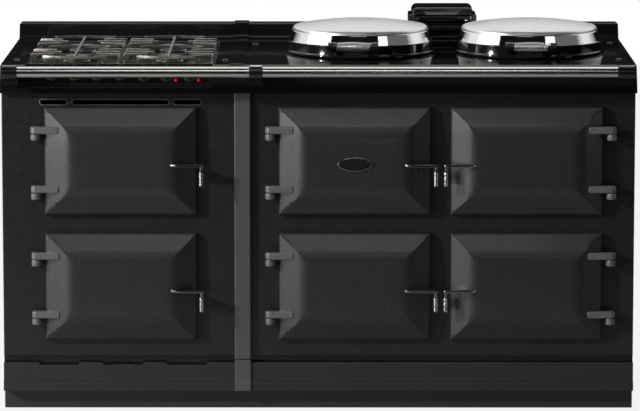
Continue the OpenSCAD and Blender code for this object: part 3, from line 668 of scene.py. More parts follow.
    @staticmethod
    def work(piece: Piece, kind: Boolean, others: Iterable[Piece]) -> Piece:
        """Works other solids into a piece, and clears them away.

        Args:
            piece: the piece that stays.
            kind: what the boolean keeps.
            others: the other solids.

        Returns:
            The piece.
        """
        for other in others:
            Bench.pick(piece)
            tool = piece.modifiers.new("boolean", "BOOLEAN")
            tool.operation = kind.value
            tool.solver = "EXACT"
            tool.object = other
            bpy.ops.object.modifier_apply(modifier=tool.name)
            bpy.data.objects.remove(other)
        return piece

    @staticmethod
    def cut(piece: Piece, *cutters: Piece) -> Piece:
        """Takes the cutters out of a piece."""
        return Bench.work(piece, Boolean.CUT, cutters)

    @staticmethod
    def meet(piece: Piece, other: Piece) -> Piece:
        """Keeps of a piece only what lies inside another."""
        return Bench.work(piece, Boolean.MEET, (other,))

    @staticmethod
    def merge(piece: Piece, *others: Piece) -> Piece:
        """Welds other solids onto a piece."""
        return Bench.work(piece, Boolean.WELD, others)

    @staticmethod
    def slice(piece: Piece, normal: Vector, offsets: Iterable[float]) -> None:
        """Divides the faces where planes square to a normal cross them.

        Args:
            piece: the piece.
            normal: the planes' normal.
            offsets: each plane's distance from the origin.
        """
        Bench.pick(piece)
        Bench.edit()
        for offset in offsets:
            Bench.select_everything()
            bpy.ops.mesh.bisect(plane_co=normal * offset, plane_no=normal)
        Bench.leave()

    @staticmethod
    def faces(piece: Piece, chosen: Callable[[Vector, Vector], bool]) -> None:
        """Selects, in edit mode, the faces whose centre and normal pass the test.

        Args:
            piece: the piece.
            chosen: the test of a face's centre and normal.
        """
        bpy.ops.mesh.select_mode(type="FACE")
        bpy.ops.mesh.select_all(action="DESELECT")
        Bench.leave()
        for polygon in piece.data.polygons:
            polygon.select = chosen(polygon.center, polygon.normal)
        Bench.edit()

    @staticmethod
    def pull(piece: Piece, chosen: Callable[[Vector], bool], shift: Sequence[float]) -> None:
        """Moves the vertices whose place passes the test.

        Args:
            piece: the piece.
            chosen: the test of a vertex's place.
            shift: how far they move.
        """
        Bench.pick(piece)
        for polygon in piece.data.polygons:
            polygon.select = False
        for edge in piece.data.edges:
            edge.select = False
        for vertex in piece.data.vertices:
            vertex.select = chosen(vertex.co)
        Bench.edit()
        bpy.ops.mesh.select_mode(type="VERT")
        bpy.ops.transform.translate(value=shift)
        Bench.leave()

    @staticmethod
    def join(name: str, parts: Sequence[Piece]) -> Piece:
        """Joins parts into one object under a name.

        Args:
            name: the object's name.
            parts: what it is made of.

        Returns:
            The object.
        """
        Bench.pick(*parts)
        bpy.ops.object.join()
        return Bench.named(name)

    @staticmethod
    def copied(piece: Piece, name: str, shift: Sequence[float] = (0, 0, 0),
               flip: bool = False) -> Piece:
        """A copy of a piece with its own mesh, moved, and mirrored in X first if told.

        Args:
            piece: the original.
            name: the copy's name.
            shift: how far it moves.
            flip: whether it is mirrored.

        Returns:
            The copy.
        """
        Bench.pick(piece)
        bpy.ops.object.duplicate(linked=False)
        made = Bench.named(name)
        if flip:
            made.scale = (-1, 1, 1)
            Bench.settle(made)
            Bench.edit()
            Bench.face_out()
        made.location = shift
        return Bench.settle(made)

    @staticmethod
    def finished(piece: Piece, finish: Finish, angle: float = 35.0) -> Piece:
        """Smooths a piece under an angle in degrees, keeps its flats flat and gives it its finish.

        Args:
            piece: the piece.
            finish: its finish.
            angle: the sharpest turn that is smoothed.

        Returns:
            The piece.
        """
        Bench.pick(piece)
        bpy.ops.object.shade_smooth_by_angle(angle=math.radians(angle))
        tool = piece.modifiers.new("flats", "WEIGHTED_NORMAL")
        tool.keep_sharp = True
        bpy.ops.object.modifier_apply(modifier=tool.name)
        piece.data.materials.clear()
        piece.data.materials.append(finish.material())
        return piece


def hand_over(piece: Piece, body: str, nodes: Iterable[str] = ()) -> None:
    """Ties a finished piece to its body and the nodes that it stands for.

    Args:
        piece: the finished piece.
        body: the frame's body that it moves with.
        nodes: the frame's nodes that it replaces.
    """
    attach(piece, body)
    names = list(nodes)
    if names:
        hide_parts(*names)
    LOG.info("%s on %s: %d faces", piece.name, body, len(piece.data.polygons))


# ---- places shared by the sub-assemblies -------------------------------------

FRONT = -0.304
BACK = 0.394
HALF = 0.7935
JOINT = -0.1905
TOP_JOINT = -0.2045
HOB = 0.872
GAP = 0.00025
UNIT_X = -0.496
SUPPORT_OUT = 0.118
BURNER_DEPTHS = (0.178, 0.436)
BURNERS = [(UNIT_X + side * SUPPORT_OUT, depth) for side in (-1, 1) for depth in BURNER_DEPTHS]
PLATE_X = (0.107, 0.541)
PLATE_DEPTH = 0.314
UPPER, LOWER = 0.631, 0.313


def at(depth: float) -> float:
    """Turns a depth behind the front plates' face into a Y value."""
    return FRONT + depth


@dataclass(frozen=True)
class DoorPlace:
    """Where a door hangs."""

    name: str  # the door's name in the frame
    x: float  # its centre
    z: float  # its centre's height
    right: bool = False  # whether its hinges are on the right

    @property
    def body(self) -> str:
        """The body that the door's pieces ride on."""
        return f"{self.name}_leaf"


DOORS = [DoorPlace("fan_oven", UNIT_X, UPPER), DoorPlace("grill_oven", UNIT_X, LOWER),
         DoorPlace("control", 0.091, UPPER), DoorPlace("simmering_oven", 0.091, LOWER),
         DoorPlace("roasting_oven", 0.522, UPPER, True), DoorPlace("baking_oven", 0.522, LOWER, True)]


# ---- doors -------------------------------------------------------------------


@dataclass
class CastDoor:
    """A cast iron door: a crowned slab with hinge lugs, a catch arm and a liner.

    It is modelled once, round its own centre and hung on the left, then copied to each place.
    """

    width: float = 0.380  # across the casting
    height: float = 0.271  # of the casting
    reveal: float = 0.001  # gap to the front plate
    rim: float = 0.008  # depth of the sides, before the edge is rounded
    round: float = 0.007  # radius of that edge
    proud: float = 0.045  # depth at the middle
    lead: float = 0.064  # width of the hinge side's bevel
    side: float = 0.062  # width of the other bevels
    ease: Flat = (0.66, 1.62)  # where a bevel begins and ends to level out, as shares of its width
    soft_from: float = 0.036  # depth from which the mitres soften
    # how far in from an edge the casting's face is divided
    steps: tuple[float, ...] = (0.0002, 0.0008, 0.0016, 0.0026, 0.0038, 0.005, 0.014, 0.026, 0.036, 0.041,
                                0.046, 0.051, 0.056, 0.061, 0.066, 0.071, 0.076, 0.081, 0.086, 0.091, 0.097,
                                0.110, 0.130, 0.160)
    pin_out: float = 0.022  # the hinge axis, out from the door's edge
    pin_fwd: float = 0.020  # the hinge axis, ahead of the front plate
    lug: float = 0.009  # half the thickness of a lug
    lug_heights: tuple[float, float] = (0.079, -0.070)  # the lugs' middles, from the door's centre
    arm: float = -0.0075  # height of the catch arm, from the door's centre
    grip_x: float = 0.203  # the grip's axis, from the door's centre

    def bevel(self, inset: float, lead: float) -> float:
        """The casting's depth on a line square to one of its edges.

        Args:
            inset: how far in from the edge.
            lead: width of that edge's bevel.

        Returns:
            The depth ahead of the front plate: a rounded rim, a straight bevel that levels out, and a flat.
        """
        r, bend, level = self.round, lead * self.ease[0], lead * self.ease[1]
        slope = (self.proud - self.rim - r) / (bend + (level - bend) / 3 - r / 2)
        turn = math.hypot(1.0, slope)
        start, foot = r * (1 - slope / turn), self.rim + r / turn
        slope = (self.proud - foot) / (bend + (level - bend) / 3 - start)
        if inset <= start:
            return self.rim + math.sqrt(max(r * r - (r - inset) ** 2, 0.0))
        if inset <= bend:
            return foot + slope * (inset - start)
        left = max(1 - (inset - bend) / (level - bend), 0.0)
        return self.proud - slope * (level - bend) / 3 * left ** 3

    def depth(self, x: float, z: float) -> float:
        """The casting's depth at a point of its face. The mitres soften towards the middle.

        Args:
            x: across, from the door's centre.
            z: up, from the door's centre.

        Returns:
            The depth ahead of the front plate.
        """
        wide, tall = self.width / 2, self.height / 2
        across = min(self.bevel(wide + x, self.lead), self.bevel(wide - x, self.side))
        upright = self.bevel(tall - abs(z), self.side)
        lower = min(across, upright)
        soft = 0.0003 + 0.0035 * max(0.0, (lower - self.soft_from) / (self.proud - self.soft_from))
        near = max(soft - abs(across - upright), 0.0) / soft
        return lower - near * near * soft / 4

    def slab(self) -> Piece:
        """Divides a sheet along its bevels and mitres, crowns it, and closes it with a recessed back.

        Returns:
            The slab.
        """
        wide, tall = self.width / 2, self.height / 2
        Bench.clear()
        bpy.ops.mesh.primitive_plane_add(size=1.0, rotation=(math.pi / 2, 0, 0))
        piece = Bench.settle(Bench.named("door_slab"))
        Bench.edit()
        bpy.ops.transform.resize(value=(self.width, 1, self.height), center_override=(0, 0, 0))
        for direction, half in ((Vector((1, 0, 0)), wide), (Vector((0, 0, 1)), tall)):
            insets = [i for i in self.steps if i < half - 0.003]
            Bench.slice(piece, direction, [half - i for i in insets] + [i - half for i in insets])
        for right, lead in ((-1, self.lead), (1, self.side)):
            for up in (-1, 1):
                near = Vector((right * (wide - 0.0038), 0, up * (tall - 0.0038)))
                far = Vector((right * (wide - lead), 0, up * (tall - self.side)))
                square = (far - near).cross(Vector((0, 1, 0))).normalized()
                Bench.slice(piece, square, [square.dot(near)])
        for vertex in piece.data.vertices:
            vertex.co.y = -self.depth(vertex.co.x, vertex.co.z)
        Bench.edit()
        bpy.ops.mesh.select_mode(type="EDGE")
        bpy.ops.mesh.select_all(action="DESELECT")
        bpy.ops.mesh.select_non_manifold()
        bpy.ops.mesh.extrude_edges_move(TRANSFORM_OT_translate={"value": (0, 0.001, 0)})
        bpy.ops.transform.resize(value=(1, 0, 1), center_override=(0, -self.reveal, 0))
        bpy.ops.mesh.edge_face_add()
        bpy.ops.mesh.select_mode(type="FACE")
        Bench.push((0, 0, 0))
        shrink = (1 - 0.012 / self.width, 1, 1 - 0.012 / self.height)
        bpy.ops.transform.resize(value=shrink, center_override=(0, 0, 0))
        Bench.push((0, -0.0022, 0))
        Bench.face_out()
        return piece

    def lug_block(self, height: float) -> Piece:
        """A hinge lug that runs in over the bevel, with a blind bore from below.

        Args:
            height: its middle, from the door's centre.

        Returns:
            The lug.
        """
        edge = -self.width / 2
        pin, ahead = edge - self.pin_out, -self.pin_fwd
        outline = arc(pin, ahead, 0.012, 90, 270, 10) + [
            (edge + 0.004, -0.032), (edge + 0.037, -0.0335), (edge + 0.034, -0.025), (edge + 0.001, -0.010)]
        low, high = height - self.lug, height + self.lug
        piece = Bench.prism("lug", outline, Plane.XY, low, high, 0.0038, 5)
        bore = Bench.rod("bore", (pin, ahead, low - 0.01), (pin, ahead, high - 0.003), 0.0054, 24)
        return Bench.cut(piece, bore)

    def catch_arm(self) -> Piece:
        """The thin blade that reaches past the door's edge, and the stem under its head.

        Returns:
            The arm.
        """
        edge = self.width / 2
        outline = [(edge - 0.067, -0.040), (edge - 0.060, -0.0455), (edge - 0.040, -0.0505),
                   (edge + 0.010, -0.053), *arc(edge + 0.013, -0.046, 0.007, -90, 90, 8),
                   (edge, -0.036), (edge - 0.012, -0.021), (edge - 0.040, -0.030), (edge - 0.064, -0.036)]
        blade = Bench.prism("blade", outline, Plane.XY, self.arm - 0.0035, self.arm + 0.0035, 0.0014, 3)
        stem = Bench.turned("stem", [(0, 0), (0.0038, 0), (0.0042, 0.0005), (0.0042, 0.009), (0.0056, 0.0125),
                                     (0.0056, 0.014), (0, 0.014)], (self.grip_x, -0.046, -0.024), steps=28)
        return Bench.join("arm", [blade, stem])

    def liner(self) -> Piece:
        """The pressed pan on the back that plugs the oven's mouth.

        Returns:
            The liner.
        """
        half, tall = self.width / 2 - 0.0064, self.height / 2 - 0.0064
        flange = Bench.block("door_liner", (-half, -0.003, -tall), (half, -0.001, tall))
        Bench.round_edges(flange, 0.0006, 2)
        mouth = (self.width - 0.068) / 2
        rise = (self.height - 0.068) / 2
        pan = Bench.block("pan", (-mouth, -0.0015, -rise), (mouth, 0.018, rise))
        Bench.pick(pan)
        Bench.edit()
        Bench.faces(pan, lambda centre, normal: normal.y > 0.9)
        bpy.ops.mesh.inset(thickness=0.016, depth=0)
        Bench.push((0, -0.005, 0))
        bpy.ops.transform.resize(value=(0.97, 1, 0.955))
        Bench.leave()
        Bench.round_edges(pan, 0.004, 3)
        return Bench.join("door_liner", [flange, pan])

    def grip(self) -> Piece:
        """The turned grip with its two grooves.

        Returns:
            The grip.
        """
        r, groove = 0.0057, 0.005
        profile = [(0, 0), (r - 0.0012, 0), (r - 0.0003, 0.0004), (r, 0.0013)]
        for h in (0.0075, 0.0235):
            profile += [(r, h), (r - 0.0002, h + 0.0006), (groove, h + 0.0011), (groove, h + 0.0029),
                        (r - 0.0002, h + 0.0034), (r, h + 0.004)]
        profile += [(r, 0.0337), (r - 0.0003, 0.0346), (r - 0.0012, 0.035), (0, 0.035)]
        return Bench.turned("door_grip", profile, (self.grip_x, -0.046, -0.059), steps=40)

    def hang(self) -> None:
        """Builds the parts once and hangs a copy of each at every place."""
        slab = Bench.finished(self.slab(), Finish.PEWTER_DOOR, 32)
        pair = Bench.join("door_lugs", [self.lug_block(z) for z in self.lug_heights])
        # the lugs are painted much lighter than the door, standing in for the light that they catch
        lugs = Bench.finished(pair, Finish.FITTING, 32)
        arm = Bench.finished(self.catch_arm(), Finish.ARM, 32)
        liner = Bench.finished(self.liner(), Finish.LINER, 40)
        grip = Bench.finished(self.grip(), Finish.GRIP, 40)
        hung = ((slab, "door_casting", "door_enamel", ["door"]), (lugs, "hinge_lugs", "door_enamel", []),
                (arm, "catch_arm", "door_enamel", []), (liner, "door_liner", "door_enamel", []),
                (grip, "grip_turned", "grip_chrome", ["grip"]))
        for place in DOORS:
            for master, label, slot, nodes in hung:
                shift = (place.x, FRONT, place.z)
                made = Bench.copied(master, f"{place.name}_{label}", shift, place.right)
                hand_over(made, place.body, [f"{place.name}_{node}" for node in nodes])
        Bench.discard(slab, lugs, arm, liner, grip)


@dataclass
class HingePosts:
    """The bosses on the front plates that the doors' lugs turn on."""

    door: CastDoor  # the door that they carry, for its sizes
    height: float = 0.016  # of a boss
    radius: float = 0.012  # of a boss
    gap: float = 0.001  # between a boss and its lug

    def post(self) -> Piece:
        """One boss with its pin and the foot that joins it to the plate.

        Returns:
            The post, its top at the origin.
        """
        r, h = self.radius, self.height
        profile = [(0, 0), (r - 0.003, 0), (r - 0.0008, 0.001), (r, 0.003), (r, h - 0.0022),
                   (r - 0.0006, h - 0.0008), (r - 0.0022, h), (0.0075, h), (0.0065, h - 0.001),
                   (0.005, h - 0.001), (0.005, h + 0.0145), (0.0042, h + 0.0155), (0, h + 0.0155)]
        boss = Bench.turned("boss", profile, (0, 0, -h), steps=40)
        foot = Bench.block("foot", (-0.008, 0.0, -h), (0.008, self.door.pin_fwd + 0.0005, -0.0004))
        Bench.round_edges(foot, 0.0018, 3)
        return Bench.join("post", [boss, foot])

    def build(self) -> None:
        """Sets two posts by each door."""
        post = self.post()
        posts = []
        for place in DOORS:
            side = 1 if place.right else -1
            x = place.x + side * (self.door.width / 2 + self.door.pin_out)
            for i, height in enumerate(self.door.lug_heights):
                top = place.z + height - self.door.lug - self.gap
                posts.append(Bench.copied(post, f"post_{place.name}_{i}", (x, at(-self.door.pin_fwd), top)))
        Bench.discard(post)
        # the posts are painted much lighter than the plates, standing in for the light that they catch
        piece = Bench.finished(Bench.join("hinge_posts_cast", posts), Finish.FITTING, 40)
        hand_over(piece, "range", ["hinge_posts"])


@dataclass
class Plaque:
    """The small bare plaque on the control door: a bright lens-shaped rim round a blank face."""

    x: float = 0.092  # its centre
    z: float = 0.627  # its centre's height
    half: float = 0.0444  # half its width
    high: float = 0.0174  # half its height at the middle
    back: float = 0.043  # its back face, ahead of the front plate
    thick: float = 0.0045  # its thickness

    def outline(self, inset: float) -> list[Flat]:
        """The plaque's outline, pulled in.

        Args:
            inset: how far.

        Returns:
            Its corners, in order.
        """
        half, high = self.half - inset, self.high - inset
        return [(self.x + half * math.cos(t) * (1 - 0.06 * abs(math.sin(2 * t))), self.z + high * math.sin(t))
                for t in (2 * math.pi * i / 48 for i in range(48))]

    def build(self) -> None:
        """Makes the rim and the blank face inside it."""
        face_y = at(-self.back - self.thick)
        rim = Bench.prism("door_plaque_rim", self.outline(0), Plane.XZ, at(-self.back), face_y, 0.0012, 3)
        well = Bench.prism("well", self.outline(0.0032), Plane.XZ, face_y - 0.001, face_y + 0.0014)
        Bench.cut(rim, well)
        hand_over(Bench.finished(rim, Finish.CHROME, 35), "control_leaf", ["door_plaque"])
        face = Bench.prism("door_plaque_face", self.outline(0.0034), Plane.XZ, face_y + 0.002,
                           face_y + 0.0006, 0.0004, 2)
        hand_over(Bench.finished(face, Finish.BLACK_SATIN, 35), "control_leaf")


# ---- base, front plates and strips -------------------------------------------


@dataclass
class Base:
    """The plinth and the two base castings with their moulding."""

    height: float = 0.048  # of the plinth
    top: float = 0.119  # of the moulding
    floor: float = 0.006  # thickness of the castings' floor
    wall: float = 0.006  # thickness of the moulding
    foot: float = 0.133  # of the front plates
    notch: float = 0.102  # width of a notch
    pitch: float = 0.161  # between two notches
    deep: float = 0.0065  # depth of a notch

    def plinth(self) -> None:
        """A folded box, open to the floor in three bays."""
        x = HALF - 0.001
        piece = Bench.block("plinth_box", (-x, at(0.004), 0.0), (x, BACK - 0.002, self.height))
        Bench.round_edges(piece, 0.0012, 2)
        for low, high in ((-x + 0.003, JOINT - 0.015), (JOINT + 0.015, 0.300), (0.330, x - 0.003)):
            far = (high, BACK - 0.005, self.height - 0.003)
            Bench.cut(piece, Bench.block("bay", (low, at(0.007), -0.01), far))
        hand_over(Bench.finished(piece, Finish.PLINTH, 30), "range", ["plinth"])

    def profile(self) -> list[Flat]:
        """The moulding cut across, as (y, z) pairs.

        Returns:
            The corners, in order.
        """
        outside = [(-0.022, self.height), (-0.022, 0.0655), (-0.0216, 0.0675), (-0.0205, 0.0693),
                   (-0.0135, 0.0755), (-0.0123, 0.0772), (-0.012, 0.079), (-0.012, self.top - 0.003),
                   (-0.0112, self.top - 0.0008), (-0.0095, self.top)]
        inside = [(-0.012 + self.wall, self.top), (-0.012 + self.wall, 0.076), (-0.022 + self.wall, 0.068),
                  (-0.022 + self.wall, self.height + self.floor), (0.002, self.height + self.floor),
                  (0.002, self.height)]
        return [(at(d), z) for d, z in outside + inside]

    def notches(self, mould: Piece) -> None:
        """Cuts the three shallow notches into the moulding's top.

        Args:
            mould: the unit's moulding.
        """
        for i in (-1, 0, 1):
            mid = -HALF + 0.3015 + i * self.pitch
            low, high, top = mid - self.notch / 2, mid + self.notch / 2, self.top
            outline = [(low, top + 0.001), (low, top - 0.002), (low + 0.004, top - self.deep),
                       (high - 0.004, top - self.deep), (high, top - 0.002), (high, top + 0.001)]
            Bench.cut(mould, Bench.prism("notch", outline, Plane.XZ, at(-0.03), at(0.004)))

    def build(self) -> None:
        """Makes the plinth, the castings and the tab behind the middle notch."""
        self.plinth()
        parts, risers = [], []
        for low, high in ((-HALF, JOINT - GAP), (JOINT + GAP, HALF)):
            mould = Bench.prism("mould", self.profile(), Plane.YZ, low, high)
            if low < JOINT:
                self.notches(mould)
            parts.append(Bench.round_edges(mould, 0.0014, 2, 40))
            parts.append(Bench.block("floor", (low, at(0.0015), self.height),
                                     (high, BACK - 0.003, self.height + self.floor)))
            # the riser is painted black: painted shade in the gap between the moulding and the front plates'
            # foot
            riser = Bench.block("riser", (low, at(0.008), self.height + 0.001),
                                (high, at(0.010), self.foot + 0.007))
            risers.append(Bench.round_edges(riser, 0.0004, 1))
        tab = Bench.block("tab", (-0.523, at(-0.0132), 0.1045), (-0.461, at(-0.0115), 0.1145))
        parts.append(Bench.round_edges(tab, 0.0006, 2))
        piece = Bench.finished(Bench.join("base_mouldings", parts), Finish.PEWTER_BASE, 32)
        hand_over(piece, "range", ["base_castings"])
        # black satin here is painted shade for the gap under the front plates
        piece = Bench.finished(Bench.join("base_risers_painted_shade", risers), Finish.BLACK_SATIN)
        hand_over(piece, "range")


@dataclass
class FrontPlates:
    """The two cast front plates with their openings and the unit's vent slots."""

    foot: float = 0.133  # their lower edge
    top: float = 0.857  # their upper edge
    thick: float = 0.008  # their thickness
    mouth: tuple[float, float] = (0.320, 0.211)  # width and height of a door's opening
    # each vent slot's two ends
    slots: tuple[Flat, ...] = ((-0.697, -0.629), (-0.616, -0.374), (-0.363, -0.294))
    slot_z: float = 0.778  # the slots' middle height
    slot_r: float = 0.0063  # half a slot's height

    def plate(self, name: str, low: float, high: float, places: Iterable[DoorPlace]) -> Piece:
        """A plate from low to high along X with the openings of its doors.

        Args:
            name: the piece's name.
            low: its left end.
            high: its right end.
            places: the doors that hang on it.

        Returns:
            The plate.
        """
        piece = Bench.block(name, (low, at(0), self.foot), (high, at(self.thick), self.top))
        Bench.round_edges(piece, 0.0025, 3)
        wide, tall = self.mouth[0] / 2, self.mouth[1] / 2
        for place in places:
            mouth = Bench.block("mouth", (place.x - wide, at(-0.01), place.z - tall),
                                (place.x + wide, at(0.02), place.z + tall))
            Bench.cut(piece, Bench.round_edges(mouth, 0.004, 3))
        return piece

    def ring(self, low: float, high: float, grow: float) -> list[Flat]:
        """The outline of a slot from low to high, made larger by grow."""
        r, z = self.slot_r, self.slot_z
        return arc(high - r, z, r + grow, -90, 90, 10) + arc(low + r, z, r + grow, 90, 270, 10)

    def slot(self, low: float, high: float) -> Piece:
        """A cutter for a vent slot, wider at the face so that its edge is rounded.

        Args:
            low: the slot's left end.
            high: its right end.

        Returns:
            The cutter.
        """
        r, z = self.slot_r, self.slot_z
        body = Bench.prism("slot", self.ring(low, high, 0), Plane.XZ, at(-0.002), at(0.02))
        flare = Bench.prism("flare", self.ring(low, high, 0.0022), Plane.XZ, at(-0.0002), at(0.0022))
        Bench.pick(flare)
        Bench.edit()
        Bench.faces(flare, lambda centre, normal: normal.y > 0.9)
        wide, tall = high - low + 0.0044, 2 * (r + 0.0022)
        mid = (low + high) / 2
        bpy.ops.transform.resize(value=((wide - 0.0044) / wide, 1, (tall - 0.0044) / tall),
                                 center_override=(mid, at(0.0022), z))
        Bench.leave()
        return Bench.merge(body, flare)

    def build(self) -> None:
        """Makes both plates."""
        unit = self.plate("unit_front_casting", -HALF, JOINT - GAP, DOORS[:2])
        # the light beads round the vent slots are painted highlights: light enamel rims that stand for the
        # bright lower edges of the slots
        highlight_beads = []
        for low, high in self.slots:
            Bench.cut(unit, self.slot(low, high))
            line = [(x, at(0.0002), z) for x, z in self.ring(low, high, 0.0008)]
            highlight_beads.append(Bench.wire("bead", [*line, line[0]], 0.0011))
        slot_highlights = Bench.finished(Bench.join("vent_slot_painted_highlights", highlight_beads), Finish.FITTING, 60)
        hand_over(slot_highlights, "range")
        Bench.cut(unit, Bench.block("panel_room", (-0.739, at(-0.002), 0.806), (-0.258, at(0.02), 0.9)))
        hand_over(Bench.finished(unit, Finish.PEWTER, 30), "range", ["unit_front_plate"])
        cooker = self.plate("cooker_front_casting", JOINT + GAP, HALF, DOORS[2:])
        hand_over(Bench.finished(cooker, Finish.PEWTER, 30), "range", ["cooker_front_plate"])


@dataclass
class JointStrips:
    """The strips that cover the joint of unit and cooker, down the front and over the top."""

    width: float = 0.040  # of the front strip
    proud: float = 0.011  # how far it stands ahead of the plates
    foot_top: float = 0.126  # top of its foot
    fascia: float = 0.802  # where it meets the top plates
    top_half: float = 0.019  # half the width of the top strip
    thick: float = 0.003  # thickness of the top strip
    ledge: float = 0.648  # depth of the upstand's face
    rise: float = 0.041  # height of the upstand
    cove: float = 0.009  # its cove

    def front(self) -> None:
        """The front strip and the foot that follows the base moulding."""
        half, r = self.width / 2, 0.0025
        outline = [(JOINT - half, at(0))] + arc(JOINT - half + r, at(-self.proud) + r, r, 180, 270, 6) + arc(
            JOINT + half - r, at(-self.proud) + r, r, 270, 360, 6) + [(JOINT + half, at(0))]
        strip = Bench.prism("joint_strip_front", outline, Plane.XY, self.foot_top + 0.002, self.fascia)
        out = 0.004
        profile = [(at(-0.022), 0.048), (at(-0.022 - out), 0.048), (at(-0.022 - out), 0.0665),
                   (at(-0.0205 - out), 0.0705), (at(-0.0135 - out), 0.0765), (at(-0.012 - out), 0.080),
                   (at(-0.012 - out), self.foot_top), (at(0), self.foot_top), (at(0), 0.119),
                   (at(-0.012), 0.119), (at(-0.012), 0.079), (at(-0.013), 0.076), (at(-0.020), 0.070),
                   (at(-0.022), 0.066)]
        foot = Bench.prism("strip_foot", profile, Plane.YZ, JOINT - half, JOINT + half, 0.0012, 2)
        piece = Bench.finished(Bench.join("joint_strip_front", [strip, foot]), Finish.STRIP, 35)
        hand_over(piece, "range", ["front_joint_strip"])

    def over(self) -> None:
        """The strip over the top plates, up the cove and over the upstand."""
        t, us, top = self.thick, at(self.ledge), HOB + self.rise
        cove = self.cove
        outline = [(at(-0.004), HOB), (at(-0.004), HOB + t - 0.0012), (at(-0.0028), HOB + t),
                   (us - cove - t, HOB + t)]
        outline += [(us - cove - t + (cove * math.sin(a)), HOB + t + cove * (1 - math.cos(a)))
                    for a in (math.radians(d) for d in (22, 45, 68, 90))]
        outline += [(us - t, top + t - 0.0015), (us - t + 0.0015, top + t), (BACK - 0.001, top + t),
                    (BACK - 0.001, top), (us, top), (us, HOB + cove), (us - cove, HOB)]
        low, high = TOP_JOINT - self.top_half, TOP_JOINT + self.top_half
        piece = Bench.prism("joint_strip_top", outline, Plane.YZ, low, high, 0.0009, 2)
        hand_over(Bench.finished(piece, Finish.BLACK, 35), "range", ["top_joint_strip"])

    def build(self) -> None:
        """Makes both strips."""
        self.front()
        self.over()


# ---- top plates, rail and cowl -----------------------------------------------


